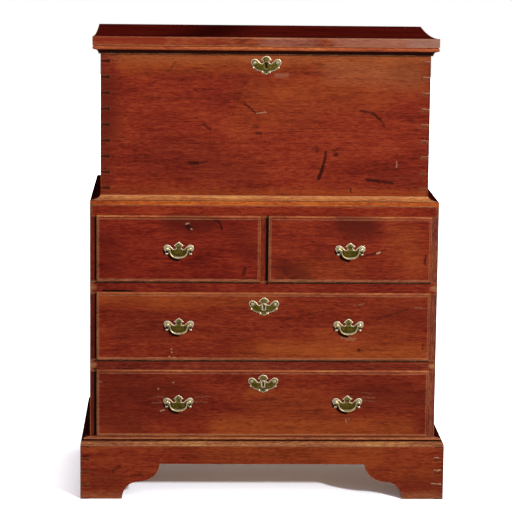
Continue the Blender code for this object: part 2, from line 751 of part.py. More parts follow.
def build_coffer_lock(coffer_front):
    """Keyhole plate outside, and a lock case inside with two mouths for the lid's hooks."""
    key_z = RIM_Z - COFFER_KEYHOLE_DROP
    add_keyhole_plate("coffer_escutcheon", 0, COFFER_FRONT_Y, key_z)
    keyhole_y = COFFER_FRONT_Y + COFFER_THICK / 2
    cut_keyhole(coffer_front, "coffer_keyhole", 0, keyhole_y, key_z, COFFER_THICK + CUT_PAST)

    line = [(-LOCK_WIDTH / 2, RIM_Z - LOCK_HEIGHT), (-LOCK_WIDTH / 2, RIM_Z)]
    mouth = HOOK_WIDTH / 2 + HOOK_CLEAR
    mouth_z = RIM_Z - HOOK_DROP - HOOK_CLEAR
    for side in (-1, 1):
        for edge, z in ((-1, RIM_Z), (-1, mouth_z), (1, mouth_z), (1, RIM_Z)):
            line.append((side * HOOK_SPREAD + edge * mouth, z))
    line += [(LOCK_WIDTH / 2, RIM_Z), (LOCK_WIDTH / 2, RIM_Z - LOCK_HEIGHT)]
    mesh = outline_mesh("coffer_lock", line, LOCK_THICK)
    lock_y = COFFER_FRONT_Y + COFFER_THICK + FIT_GAP + LOCK_THICK / 2
    add_piece("coffer_lock", mesh, (0, lock_y, 0), IRON, None, FACING_FRONT)


def lipped_front_mesh(name, opening, middle):
    """Drawer front: a core that fits the opening, and a lip with a quarter round and a step."""
    left, right, low, high = opening
    core = (left + DRAWER_CLEAR, right - DRAWER_CLEAR, low + LIP_REST + LIP_FOOT, high - DRAWER_CLEAR)
    lip = (left - LIP_SIDE, right + LIP_SIDE, low + LIP_REST, high + LIP_TOP)
    lip_back = CASE_FRONT_Y - FIT_GAP
    edges = [(core, 0.0, FRONT_BACK_Y), (core, 0.0, lip_back), (lip, 0.0, lip_back)]
    for rise, run in quarter(ARC_STEPS):
        edges.append((lip, LIP_ROUND * (1 - run), FACE_Y + LIP_STEP + LIP_ROUND * (1 - rise)))
    edges.append((lip, LIP_ROUND, FACE_Y))
    rings = []
    for (x0, x1, z0, z1), inset, y in edges:
        corners = (
            (x0 + inset, y, z0 + inset),
            (x1 - inset, y, z0 + inset),
            (x1 - inset, y, z1 - inset),
            (x0 + inset, y, z1 - inset),
        )
        rings.append([Vector(corner) - middle for corner in corners])
    return loft_mesh(name, rings)


def build_drawer(name, opening):
    """Front, box and bottom of one drawer, on a carrier at the middle of its face."""
    left, right, low, high = opening
    middle = Vector(((left + right) / 2, FACE_Y, (low + LIP_REST + high + LIP_TOP) / 2))
    drawer = add_carrier(name, middle)
    front = add_piece(name + "_front", lipped_front_mesh(name + "_front", opening, middle),
                      middle, MAHOGANY, drawer)

    foot = low + FIT_GAP
    core_low = low + LIP_REST + LIP_FOOT
    top = high - DRAWER_TOP_CLEAR
    box_left = left + DRAWER_CLEAR
    box_right = right - DRAWER_CLEAR
    tip = FRONT_BACK_Y - DRAWER_LAP + FIT_GAP
    root = FRONT_BACK_Y + FIT_GAP
    ends = tail_line(core_low, top, DRAWER_TAILS, root, tip)
    side_line = [(root, foot)] + ends + [(DRAWER_END_Y, top), (DRAWER_END_Y, foot)]
    wide = tail_line(core_low, top, DRAWER_TAILS, root, tip - FIT_GAP, FIT_GAP)
    behind = FRONT_BACK_Y + CUT_PAST
    wide += [(behind, top + FIT_GAP), (behind, core_low - FIT_GAP)]
    socket_thick = DRAWER_SIDE_THICK + FIT_GAP + CUT_PAST

    floor_low = (box_left + DRAWER_SIDE_THICK - DRAWER_GROOVE, FRONT_BACK_Y - DRAWER_GROOVE,
                 foot + DRAWER_BOTTOM_RISE)
    floor_high = (box_right - DRAWER_SIDE_THICK + DRAWER_GROOVE, DRAWER_END_Y - CUT_PAST,
                  foot + DRAWER_BOTTOM_RISE + DRAWER_BOTTOM_THICK)
    board(name + "_bottom", floor_low, floor_high, OAK, drawer)
    groove = box_cutter(name + "_groove", floor_low, floor_high, FIT_GAP, drawer)
    cut(front, groove)

    left_x = box_left + DRAWER_SIDE_THICK / 2
    right_x = box_right - DRAWER_SIDE_THICK / 2
    left_mesh = outline_mesh(name + "_box", side_line, DRAWER_SIDE_THICK)
    box = add_piece(name + "_box", left_mesh, (left_x, 0, 0), OAK, drawer, FACING_SIDE)
    right_mesh = outline_mesh(name + "_right_side", side_line, DRAWER_SIDE_THICK)
    right_side = add_cutter(name + "_right_side", right_mesh, (right_x, 0, 0), drawer, FACING_SIDE)
    for end, inner_x in ((-1, box_left + DRAWER_SIDE_THICK), (1, box_right - DRAWER_SIDE_THICK)):
        socket_x = inner_x + end * (socket_thick / 2 - FIT_GAP)
        mesh = outline_mesh(name + "_sockets", wide, socket_thick)
        cut(front, add_cutter(name + "_sockets", mesh, (socket_x, 0, 0), drawer, FACING_SIDE))

    back_low = (left_x, DRAWER_END_Y - CUT_PAST - DRAWER_BACK_THICK, floor_high[2] + 2 * FIT_GAP)
    back_high = (right_x, DRAWER_END_Y - CUT_PAST, top - DRAWER_BACK_DROP)
    join(box, box_cutter(name + "_back", back_low, back_high, 0.0, drawer), right_side)
    cut(box, groove)
    return drawer, front, middle


def build_drawer_lock(name, opening, drawer, front, middle, rail):
    """Keyhole, plate, lock case and sliding bolt of a long drawer, and the mortise in its rail."""
    high = opening[3]
    key_z = middle.z + KEYHOLE_RISE
    add_keyhole_plate(name + "_escutcheon", 0, FACE_Y, key_z, drawer)
    keyhole_y = FACE_Y + FRONT_THICK / 2
    cut_keyhole(front, name + "_keyhole", 0, keyhole_y, key_z, FRONT_THICK + CUT_PAST, drawer)

    top = high - DRAWER_CLEAR
    bolt_half = BOLT_WIDTH / 2
    slot_half = bolt_half + BOLT_CLEAR
    slot_z = top - BOLT_LENGTH - FIT_GAP
    line = [
        (-LOCK_WIDTH / 2, top - LOCK_HEIGHT),
        (-LOCK_WIDTH / 2, top),
        (-slot_half, top),
        (-slot_half, slot_z),
        (slot_half, slot_z),
        (slot_half, top),
        (LOCK_WIDTH / 2, top),
        (LOCK_WIDTH / 2, top - LOCK_HEIGHT),
    ]
    lock_y = FRONT_BACK_Y + FIT_GAP + LOCK_THICK / 2
    mesh = outline_mesh(name + "_lock", line, LOCK_THICK)
    add_piece(name + "_lock", mesh, (0, lock_y, 0), IRON, drawer, FACING_FRONT)

    bolt_low = (-bolt_half, lock_y - BOLT_THICK / 2, top - BOLT_LENGTH)
    bolt_high = (bolt_half, lock_y + BOLT_THICK / 2, top)
    bolt_seat = add_carrier(name + "_bolt_slide", (0, lock_y, top), drawer)
    board(name + "_bolt", bolt_low, bolt_high, BRASS, bolt_seat)
    mortise_high = (bolt_half, lock_y + BOLT_THICK / 2, top + BOLT_THROW)
    cut(rail, box_cutter(name + "_mortise", bolt_low, mortise_high, BOLT_CLEAR))


def bail_mesh(name):
    """A bow of brass wire: pins that lie in the posts, limbs that drop and a rounded foot."""
    half = (
        (POST_SPREAD, 0.0, BAIL_PIN_RADIUS),
        (POST_SPREAD - POST_RADIUS, 0.0, BAIL_PIN_RADIUS),
        (POST_SPREAD - POST_RADIUS - BAIL_PIN_RADIUS, 0.0, BAIL_PIN_RADIUS),
        (BAIL_HALF_WIDTH, -BAIL_NECK, BAIL_RADIUS),
        (BAIL_HALF_WIDTH, -BAIL_HANG / 2, BAIL_RADIUS),
    )
    path = list(half)
    for rise, run in quarter(ARC_STEPS)[1:]:
        path.append((BAIL_HALF_WIDTH * run, -BAIL_HANG / 2 * (1 + rise), BAIL_RADIUS))
    path += [(-across, up, radius) for across, up, radius in reversed(path[:-1])]
    curve = bpy.data.curves.new(name, "CURVE")
    curve.dimensions = "3D"
    curve.bevel_depth = 1.0
    curve.bevel_resolution = 2
    curve.use_fill_caps = True
    spline = curve.splines.new("POLY")
    spline.points.add(len(path) - 1)
    for point, (across, up, radius) in zip(spline.points, path):
        point.co = (across, 0, up, 1)
        point.radius = radius
    return solid_from_curve(curve)


def build_handle(name, x, z, drawer):
    """Back plate with two posts, and the bail that swings between them."""
    plate_at = (x, FACE_Y - FIT_GAP - PLATE_THICK / 2, z)
    plate = add_piece(name + "_plate", plate_mesh(name + "_plate", False), plate_at, BRASS,
                      drawer, FACING_FRONT)
    post_z = z + POST_RISE
    post_y = FACE_Y - FIT_GAP - PLATE_THICK / 2 - POST_LENGTH / 2
    for side in (-1, 1):
        mesh = rod_mesh(name + "_post", POST_RADIUS, POST_LENGTH, "Y")
        at = (x + side * POST_SPREAD, post_y, post_z)
        join(plate, add_cutter(name + "_post", mesh, at, drawer))
    hole_length = 2 * (POST_SPREAD + BAIL_PIN_CLEAR)
    hole_mesh = rod_mesh(name + "_eyes", BAIL_PIN_RADIUS + BAIL_PIN_CLEAR, hole_length, "X")
    cut(plate, add_cutter(name + "_eyes", hole_mesh, (x, POST_Y, post_z), drawer))

    swing = add_carrier(name + "_swing", (x, POST_Y, post_z), drawer)
    bail = add_piece(name + "_bail", bail_mesh(name + "_bail"), (x, POST_Y, post_z), BRASS, swing)
    bail.data.shade_smooth()


def build_drawers(boards):
    """Two short drawers over two long ones, with their handles and locks."""
    stile = DIVIDER_THICK / 2
    long_drawers = (
        ("lower_long_drawer", FLOOR_Z, LOWER_RAIL_Z, boards["lower_rail"]),
        ("upper_long_drawer", UPPER_FLOOR_Z, UPPER_RAIL_Z, boards["upper_rail"]),
    )
    for name, low, high, rail in long_drawers:
        opening = (-INNER_HALF, INNER_HALF, low, high)
        drawer, front, middle = build_drawer(name, opening)
        build_drawer_lock(name, opening, drawer, front, middle, rail)
        for side, x in (("left", -HANDLE_SPREAD), ("right", HANDLE_SPREAD)):
            build_handle(name + "_" + side + "_handle", x, middle.z, drawer)

    short_drawers = (("left_short_drawer", -INNER_HALF, -stile), ("right_short_drawer", stile, INNER_HALF))
    for name, left, right in short_drawers:
        drawer, front, middle = build_drawer(name, (left, right, SHORT_FLOOR_Z, TOP_RAIL_Z))
        build_handle(name + "_handle", middle.x, middle.z - SHORT_HANDLE_DROP, drawer)


def weld_cut_pieces():
    """Close the hairline edges that the cuts leave."""
    for piece in PARTS.objects:
        if piece.modifiers:
            weld = piece.modifiers.new("weld", "WELD")
            weld.merge_threshold = WELD_DISTANCE


build_plinth()
build_base_moulding()
case_boards = build_case()
coffer_boards = build_coffer()
build_lid()
build_coffer_lock(coffer_boards["coffer_front"])
build_drawers(case_boards)
weld_cut_pieces()
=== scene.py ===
"""Looks of a two-stage mahogany chest, a lift-lid coffer on a chest of drawers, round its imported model."""
import json
import math
import random

import bmesh
import bpy
from bpy.props import FloatProperty, FloatVectorProperty, PointerProperty
from mathutils import Color, Matrix, Vector


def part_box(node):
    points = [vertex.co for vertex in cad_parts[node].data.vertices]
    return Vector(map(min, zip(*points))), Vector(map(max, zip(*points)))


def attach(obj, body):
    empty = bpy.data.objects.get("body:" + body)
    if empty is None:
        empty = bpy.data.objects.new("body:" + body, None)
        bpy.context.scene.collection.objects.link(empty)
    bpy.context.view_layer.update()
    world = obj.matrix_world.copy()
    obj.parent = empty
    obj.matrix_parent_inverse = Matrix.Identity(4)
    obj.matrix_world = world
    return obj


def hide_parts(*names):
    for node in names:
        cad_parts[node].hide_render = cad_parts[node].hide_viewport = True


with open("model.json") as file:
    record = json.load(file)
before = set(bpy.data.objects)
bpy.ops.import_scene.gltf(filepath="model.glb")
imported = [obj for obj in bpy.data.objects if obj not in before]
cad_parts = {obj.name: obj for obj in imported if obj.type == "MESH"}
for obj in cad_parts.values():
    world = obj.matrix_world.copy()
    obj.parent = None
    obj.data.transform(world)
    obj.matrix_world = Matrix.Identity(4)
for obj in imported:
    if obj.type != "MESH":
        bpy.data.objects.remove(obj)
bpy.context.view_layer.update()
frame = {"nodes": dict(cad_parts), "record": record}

bl_info = {
    "name": "Chest on Chest Looks",
    "version": (1, 0, 0),
    "blender": (4, 5, 0),
    "location": "View3D > Sidebar > Chest",
    "description": "Dresses the packed chest in mahogany, oak, pine, brass and iron on a plain floor",
    "category": "Object",
}

BODY_OF = {}
for body, members in frame["record"]["behaviour"]["bodies"].items():
    for member in members:
        BODY_OF[member] = body

DRAWERS = ("lower_long_drawer", "upper_long_drawer", "left_short_drawer", "right_short_drawer")
LOCKED = DRAWERS[:2]
HANDLES = [drawer + side for drawer in LOCKED for side in ("_left_handle", "_right_handle")]
HANDLES += [drawer + "_handle" for drawer in DRAWERS[2:]]
HINGES = ("left_hinge", "right_hinge")
FRONT = Vector((0, -1, 0))
BACK = Vector((0, 1, 0))

# The axis that a board's grain runs along, then the two across it; mouldings change axis at their mitres.
ALONG = {"x": (0, 1, 2), "y": (1, 2, 0), "z": (2, 0, 1)}
SEED = 71
# A face that looks along the grain by this much is end grain.
ACROSS = 0.8
# Points closer than this are one, in metres.
BOARD_WELD = 0.00002
BRASS_WELD = 0.00001
MITRE_SNAP = 0.00001
# Faces that turn by less are one flat, edges that turn by more are rounded, and corners that turn by
# more stay sharp.
FLAT_ANGLE = math.radians(0.5)
ARRIS_ANGLE = math.radians(40)
CORNER_ANGLE = math.radians(35)
WOOD_IOR = 1.5

# Right half of the cut brass plate: across, up, and whether the corner is sharp.
PLATE_HALF = (
    (0.0, 0.0260, False), (0.0100, 0.0218, False), (0.0158, 0.0138, True), (0.0090, 0.0106, False),
    (0.0085, 0.0068, False), (0.0147, 0.0034, True), (0.0228, 0.0118, False), (0.0318, 0.0172, False),
    (0.0412, 0.0145, False), (0.0440, 0.0072, False), (0.0415, 0.0005, False), (0.0375, -0.0042, True),
    (0.0390, -0.0100, True), (0.0335, -0.0108, False), (0.0282, -0.0148, False), (0.0205, -0.0178, False),
    (0.0090, -0.0190, True), (0.0132, -0.0234, True), (0.0055, -0.0252, False), (0.0, -0.0278, True),
)
# A handle's plate has the same wings, a peaked head, and below the wings it keeps behind its bail.
HANDLE_HEAD = ((0.0, 0.0260, True), (0.0075, 0.0208, False), (0.0148, 0.0142, True))
HANDLE_FOOT = (
    (0.0388, -0.0112, True), (0.0345, -0.0120, False), (0.0304, -0.0104, True), (0.0292, -0.0050, True),
    (0.0266, -0.0048, True), (0.0250, -0.0085, False), (0.0222, -0.0130, False), (0.0176, -0.0168, False),
    (0.0090, -0.0188, False), (0.0, -0.0196, False),
)
HANDLE_HALF = HANDLE_HEAD + PLATE_HALF[3:12] + HANDLE_FOOT
PLATE_TOP = 0.0260
PLATE_THICK = 0.0018
PLATE_CHAMFER = 0.0007
PLATE_FINISHES = ("cast_brass", "rubbed_brass", "forged_iron")
POST_OUT = 0.033
POST_UP = 0.006
KEY_RADIUS = 0.0044
KEY_SLOT = 0.0066
KEY_UP = 0.0035
KEY_DROP = 0.0135
KEY_STEPS = 14
KEY_BEAD = 0.0009
BEAD_SIDES = 8
# The keyhole's walls take the dark iron finish as painted shade: faces this near to its middle that look to
# the front by less than this.
KEY_REACH = 0.0125
KEY_WALL = 0.9
# The coffer's plate has no rubbed and highlighted rim this near to the middle of its keyhole.
HUSH_REACH = 0.012
# Half of a bail from its pin to its lowest point: across, up, and thickness as a share of the rod.
BAIL_HALF = (
    (0.0330, 0.0, 0.65), (0.0298, 0.0, 0.75), (0.0282, -0.0006, 1.40), (0.0260, -0.0030, 1.40),
    (0.0252, -0.0070, 1.05), (0.0246, -0.0112, 1.00), (0.0222, -0.0168, 1.02), (0.0176, -0.0217, 1.06),
    (0.0100, -0.0251, 1.12), (0.0, -0.0262, 1.25),
)
BAIL_ROD = 0.0020
BAIL_STEPS = 4
# Turned profiles: radius and height above the plate.
POST_PROFILE = (
    (0.0054, 0.0), (0.0054, 0.0006), (0.0048, 0.0015), (0.0036, 0.0023), (0.0030, 0.0034), (0.0031, 0.0050),
    (0.0041, 0.0062), (0.0050, 0.0079), (0.0050, 0.0098), (0.0042, 0.0114), (0.0024, 0.0123), (0.0, 0.0125),
)
PIN_PROFILE = ((0.0030, 0.0), (0.0030, 0.0004), (0.0025, 0.0013), (0.0014, 0.0019), (0.0, 0.0021))
SPUR_PROFILE = ((0.0028, -0.0002), (0.0025, 0.0005), (0.0015, 0.0010), (0.0, 0.0012))
SHADOW_DISC_PROFILE = ((0.0046, -0.0002), (0.0046, 0.0002), (0.0038, 0.0003), (0.0, 0.0003))
# Turned parts on each half of a plate: profile, across, up, sides and finish.
# Spurs catch the light, and dark iron discs under a handle's posts are painted shade for the posts' shadows.
HANDLE_TURNINGS = (
    (POST_PROFILE, POST_OUT, POST_UP, 20, 1),
    (SPUR_PROFILE, 0.0348, -0.0098, 12, 1),
    (SHADOW_DISC_PROFILE, 0.0340, -0.0030, 12, 2),
)
KEY_TURNINGS = (
    (PIN_PROFILE, POST_OUT, POST_UP, 14, 1),
    (SPUR_PROFILE, 0.0366, -0.0084, 12, 1),
    (SPUR_PROFILE, 0.0112, -0.0211, 12, 1),
)
SCREW_RADIUS = 0.0038
SCREW_PROFILE = ((SCREW_RADIUS, 0.0), (SCREW_RADIUS, 0.00048), (SCREW_RADIUS * 0.86, 0.0008))
SCREW_SLOT = 0.0009
SCREW_STEPS = 10
# Screws stand on a leaf this far behind the coffer, at shares of its height and width.
SCREW_SEAT = 0.0022
SCREW_UP = 0.45
SCREW_ROW = (-0.34, 0.0, 0.34)


def in_metres(*groups):
    """A table of marks, written in millimetres, as metres; the last value, a mark's strength, stays."""
    table = []
    for colour, marks in groups:
        table.append((colour, [(*(value / 1000 for value in mark[:5]), mark[5]) for mark in marks]))
    return table


# Marks wider than this, in metres, fade out from their middle, and the others from a share of their width.
# All of them reach a little past it.
WIDE_MARK = 0.02
BLACK_CORE = 0.6
FAINT_CORE = 0.3
MARK_REACH = 1.2
# Stains that the grain shows through, and marks with straight edges.
SOAKED = (
    "mahogany_faded", "mahogany_smoke_and_shade", "mahogany_worn", "mahogany_rubbed_and_highlight",
    "mahogany_dust_and_sheen", "mahogany_black",
)
STRAIGHT = ("mahogany_rubbed_and_highlight", "mahogany_painted_shadow")
# Old stains and scratches, in millimetres on the face of a board: x, z, x, z, half width, strength.
PLINTH_STAINS = in_metres(
    ("mahogany_faded", (
        (-160, 140, 330, 130, 60, 0.55), (380, 90, 500, 80, 50, 0.35),
    )),
    ("mahogany_smoke_and_shade", (
        # The last mark here is painted shade down the plinth's right edge, over its lit rounding.
        (-500, 55, -430, 52, 45, 0.4), (430, 50, 500, 48, 45, 0.4), (533.5, 150, 533.5, 20, 4.5, 0.8),
    )),
    ("mahogany_worn", (
        (-530, 2, -420, 2, 24, 0.3), (420, 2, 530, 2, 26, 0.4),
    )),
    ("mahogany_grime_and_shade", (
        (-420, 100, -440, 82, 6, 0.55), (-385, 70, -350, 74, 5, 0.4), (-528, 128, -512, 128, 3, 0.85),
        (-528, 86, -514, 86, 2.6, 0.8), (-528, 46, -516, 46, 2.6, 0.7), (516, 120, 528, 122, 3.4, 0.85),
        (512, 82, 528, 84, 2.6, 0.7),
    )),
    ("mahogany_pale", (
        (508, 126, 520, 127, 2, 0.6), (506, 88, 528, 89, 2, 0.6), (500, 48, 528, 47, 2.4, 0.55),
    )),
)
COFFER_STAINS = in_metres(
    ("mahogany_faded", (
        (-400, 1294, 470, 1294, 55, 1), (-20, 1190, 330, 1215, 90, 0.5), (-60, 1120, 120, 1140, 60, 0.3),
        (190, 1270, 440, 1235, 75, 0.55), (-460, 902, 470, 902, 24, 0.5),
    )),
    ("mahogany_worn", (
        (-450, 1298, 475, 1298, 26, 0.14), (200, 1270, 420, 1250, 60, 0.22),
    )),
    ("mahogany_smoke_and_shade", (
        (-466, 1230, -462, 1080, 55, 0.75), (-466, 1060, -466, 940, 40, 0.55),
        (-330, 1000, -50, 960, 80, 0.3), (-300, 1040, -160, 1030, 50, 0.22),
        # The last mark here is painted shade down the coffer's right edge, over its lit rounding.
        (400, 1265, 455, 1255, 55, 0.3), (330, 965, 440, 945, 40, 0.35), (476, 1290, 476, 900, 4.5, 0.9),
    )),
    ("mahogany_grime_and_shade", (
        (-62, 1164, -46, 1152, 3.2, 0.8), (-46, 1152, -30, 1139, 3, 0.9),
        (-30, 1139, -20, 1134, 2.4, 0.6), (-180, 1105, -160, 1087, 5, 0.55),
        (-220, 989, -197, 990, 6.2, 0.85), (-197, 990, -170, 994, 3.5, 0.55),
        (-128, 986, -100, 984, 4, 0.4), (-36, 1098, -22, 1095, 6, 0.5), (-24, 1079, -14, 1077, 6, 0.65),
        (274, 1146, 310, 1138, 5.5, 0.7), (310, 1138, 334, 1120, 5, 0.8), (334, 1120, 346, 1098, 5, 0.5),
        (176, 1024, 170, 985, 5, 0.85), (170, 985, 157, 946, 6.8, 0.92), (140, 1034, 150, 1040, 5, 0.55),
        (152, 1036, 150, 1024, 4, 0.6), (196, 1028, 212, 1034, 4.5, 0.6), (202, 1016, 208, 1018, 6, 0.75),
        (297, 944, 330, 940, 7, 0.85), (330, 940, 372, 935, 6, 0.7), (250, 917, 251, 908, 3.5, 0.7),
        (-262, 1284, -276, 1262, 4.5, 0.35), (-360, 1180, -160, 1178, 2.8, 0.45),
        (-310, 1050, -120, 1046, 2.8, 0.3), (60, 1090, 220, 1094, 2.6, 0.3),
    )),
    ("mahogany_pale", (
        (-26, 1136, 2, 1139, 2, 0.6), (30, 1246, 60, 1247, 8, 0.17), (383, 998, 384, 980, 2.6, 0.4),
        *((455, 874.8 + k * 46.1, 476, 875.2 + k * 46.1, 1.7, 0.5) for k in range(3, 10)),
    )),
    # Painted shade in the coffer's keyhole, on the wood behind its plate.
    ("mahogany_painted_shadow", (
        (0, 1281, 0, 1266, 9, 1),
    )),
)
DRAWER_STAINS = in_metres(
    ("mahogany_faded", (
        (-470, 596, 30, 592, 30, 0.55), (-330, 575, -180, 582, 30, 0.45), (0, 445, 460, 436, 42, 0.85),
        (180, 470, 400, 470, 70, 0.35), (-60, 430, 100, 440, 50, 0.4), (-120, 210, 420, 206, 55, 0.75),
        (0, 270, 200, 265, 80, 0.4), (-40, 316, 20, 318, 24, 0.55), (400, 780, 430, 700, 70, 0.4),
        (120, 690, 260, 680, 50, 0.35),
    )),
    ("mahogany_smoke_and_shade", (
        (-270, 826, -170, 820, 44, 0.8), (-235, 815, -215, 806, 30, 0.7), (232, 820, 302, 812, 50, 0.95),
        (250, 796, 272, 790, 40, 0.75), (50, 690, 110, 672, 40, 0.8), (-450, 330, -260, 300, 90, 0.5),
        (-460, 250, -380, 220, 70, 0.45), (-400, 510, -300, 500, 60, 0.35),
        (-460, 770, -440, 690, 50, 0.35), (-80, 800, -40, 740, 50, 0.35), (280, 316, 460, 300, 60, 0.45),
        (340, 560, 460, 540, 50, 0.3),
    )),
    ("mahogany_grime_and_shade", (
        (-226, 811, -217, 804, 8.5, 0.9), (-148, 829, -132, 824, 5, 0.75),
        (-132, 824, -124, 802, 4.8, 0.85), (-56, 690, -40, 692, 2.8, 0.4), (-56, 686, -61, 668, 7, 0.62),
        (280, 722, 330, 735, 4.5, 0.6), (330, 735, 352, 744, 3, 0.5), (470, 727, 467, 702, 4.2, 0.75),
        (100, 652, 150, 654, 5, 0.6), (36, 660, 54, 656, 6, 0.45), (58, 682, 66, 668, 7, 0.35),
        (78, 658, 94, 660, 6, 0.4), (276, 446, 282, 446, 5, 0.85), (468, 466, 467, 448, 3.4, 0.5),
        (330, 538, 420, 566, 4, 0.45), (50, 530, 200, 568, 3.5, 0.34), (-390, 520, -300, 526, 3, 0.3),
        (-36, 292, 40, 300, 3.6, 0.4), (-240, 250, -180, 246, 3, 0.35), (-125, 234, -120, 232, 4.2, 0.45),
        (-44, 223, -30, 219, 4.6, 0.38), (-20, 214, -12, 213, 4, 0.3),
    )),
    ("mahogany_pale", (
        (-230, 816, -222, 818, 2.2, 0.55), (-214, 803, -212, 800, 2.6, 0.7),
        (328, 733, 336, 737, 3.4, 0.85), (428, 572, 470, 570, 2, 0.22), (262, 577, 292, 584, 2.2, 0.2),
        (228, 482, 268, 479, 4.4, 0.2), (240, 476, 262, 474, 3, 0.16), (-268, 446, -268, 445, 2.4, 0.6),
        (-269, 438, -268, 437, 2.4, 0.6), (-276, 423, -272, 423, 2.4, 0.5),
        (-263, 422, -258, 422, 2.4, 0.5), (-264, 346, -262, 347, 2.6, 0.5),
        (-308, 328, -306, 328, 2.6, 0.42), (-300, 262, -290, 263, 3.4, 0.5),
        (-484, 348, -474, 348, 2.2, 0.4), (-330, 302, -292, 303, 2.2, 0.15),
        (-325, 286, -296, 286, 2.2, 0.15), (-203, 302, -152, 305, 2.2, 0.15),
        (-200, 288, -165, 288, 2.2, 0.12), (290, 318, 325, 316, 2.2, 0.11),
        (292, 304, 330, 302, 2.2, 0.15), (296, 294, 326, 292, 2.2, 0.13), (246, 238, 247, 226, 2.2, 0.28),
        (254, 244, 256, 234, 1.8, 0.2),
    )),
)
LID_EDGE_STAINS = in_metres(
    ("mahogany_mid", (
        (-490, 1350, -300, 1350, 26, 0.9), (-300, 1352, -140, 1352, 24, 0.5),
    )),
    # Grey bloom towards the right end of the lid's edge, which is also its painted sheen.
    ("mahogany_dust_and_sheen", (
        (10, 1342, 120, 1344, 45, 0.5), (220, 1352, 380, 1346, 50, 0.55), (430, 1344, 500, 1344, 60, 1),
    )),
)
# On the lid's level top a mark is given as x, y, x, y.
LID_TOP_STAINS = in_metres(
    ("mahogany_black", (
        (-215, -140, -120, 230, 140, 1), (-440, -235, -200, -220, 70, 0.95),
        (-140, -175, 20, -165, 60, 0.65), (120, -240, 430, -230, 70, 0.85),
        (20, -120, 200, -110, 50, 0.35),
    )),
)
COFFER_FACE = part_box("coffer_front")[0].y
LID_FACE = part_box("lid_board")[0].y
LID_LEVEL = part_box("lid_board")[1].z
DRAWER_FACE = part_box("lower_long_drawer_front")[0].y
CASE_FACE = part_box("top_rail")[0].y
PLINTH_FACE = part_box("base_front")[0].y
# Marks that follow the brasses and the lips, in metres.
# Painted shadow of a bail and its wing: black at the left of the bail, under it and inside its right arm,
# from the middle of the plate.
HANDLE_SHADOW = (
    (-0.0286, -0.0060, -0.0272, -0.0150, 0.0038, 1.0),
    (-0.0272, -0.0150, -0.0222, -0.0218, 0.0038, 1.0),
    (-0.0222, -0.0218, -0.0140, -0.0266, 0.0038, 1.0),
    (-0.0140, -0.0266, -0.0030, -0.0284, 0.0038, 1.0),
    (-0.0440, 0.0040, -0.0410, -0.0100, 0.0034, 0.9),
    (0.0276, -0.0060, 0.0268, -0.0120, 0.0026, 1.0),
)
# Painted shade inside a drawer's keyhole, on the wood behind the plate, from the middle of the plate.
KEYHOLE_SHADE = (0.0, KEY_UP, 0.0, -0.0100, 0.0080, 1.0)
# Rubbed lines inside a drawer's lip, which also paint the highlight on its step: short of its ends, in from
# its edge, half width, strength.
TOP_RUB = (0.0040, 0.0095, 0.0022, 0.70)
FOOT_RUB = (0.0050, 0.0062, 0.0026, 0.95)
LEFT_RUB = (0.0050, 0.0062, 0.0024, 0.80)
RIGHT_RUB = (0.0060, 0.0072, 0.0022, 0.60)
# The painted shadow in the gap at the left of a drawer is wider where the drawer sits further to the right.
WIDE_GAPS = ("lower_long_drawer", "right_short_drawer")
GAP_WIDE = 0.0060
GAP_NARROW = 0.0042
# The painted shadow under a drawer's lip: drop below the lip, half width.
FOOT_GAP = (0.0020, 0.0044)
# Both painted shadows start past one end of the lip and stop short of the other.
GAP_PAST = 0.003
GAP_SHORT = 0.004
# Painted shadow above the upper long drawer, as in a gap under the rail, which tapers at both ends.
RAIL_GAP = (
    (-0.470, 0.6178, -0.385, 0.6168, 0.0026, 1.0),
    (-0.445, 0.6172, -0.408, 0.6168, 0.0040, 1.0),
)
# Pale ends of the rails, let into the sides: from x, to x, half width, strength.
RAIL_ENDS = ((-0.503, -0.494, 0.009, 0.55), (0.494, 0.503, 0.009, 0.75))
# Painted shade down the right edge of the case, over its lit rounding.
RIGHT_EDGE_SHADE = (0.506, 0.860, 0.506, 0.200, 0.0045, 0.90)


def front_stains(drawer):
    """The marks on one drawer's front: painted shadows round its handles and in its keyhole, and rubbed
    lines inside its lip that also paint its highlights.
    """
    low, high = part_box(drawer + "_front")
    painted_shadows = []
    for handle in HANDLES:
        if handle.startswith(drawer):
            left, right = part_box(handle + "_plate")
            x = (left.x + right.x) / 2
            z = right.z - PLATE_TOP
            for x0, z0, x1, z1, *rest in HANDLE_SHADOW:
                painted_shadows.append((x + x0, z + z0, x + x1, z + z1, *rest))
    if drawer in LOCKED:
        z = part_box(drawer + "_escutcheon")[1].z - PLATE_TOP
        x0, z0, x1, z1, *rest = KEYHOLE_SHADE
        painted_shadows.append((x0, z + z0, x1, z + z1, *rest))
    rubbed = []
    for (short, inside, *rest), edge, way in ((TOP_RUB, high.z, -1), (FOOT_RUB, low.z, 1)):
        z = edge + way * inside
        rubbed.append((low.x + short, z, high.x - short, z, *rest))
    for (short, inside, *rest), edge, way in ((LEFT_RUB, low.x, 1), (RIGHT_RUB, high.x, -1)):
        x = edge + way * inside
        rubbed.append((x, low.z + short, x, high.z - short, *rest))
    groups = []
    for colour, marks in DRAWER_STAINS:
        own = [mark for mark in marks if low.x < mark[0] < high.x and low.z < mark[1] < high.z]
        if own:
            groups.append((colour, own))
    return groups + [("mahogany_rubbed_and_highlight", rubbed), ("mahogany_painted_shadow", painted_shadows)]


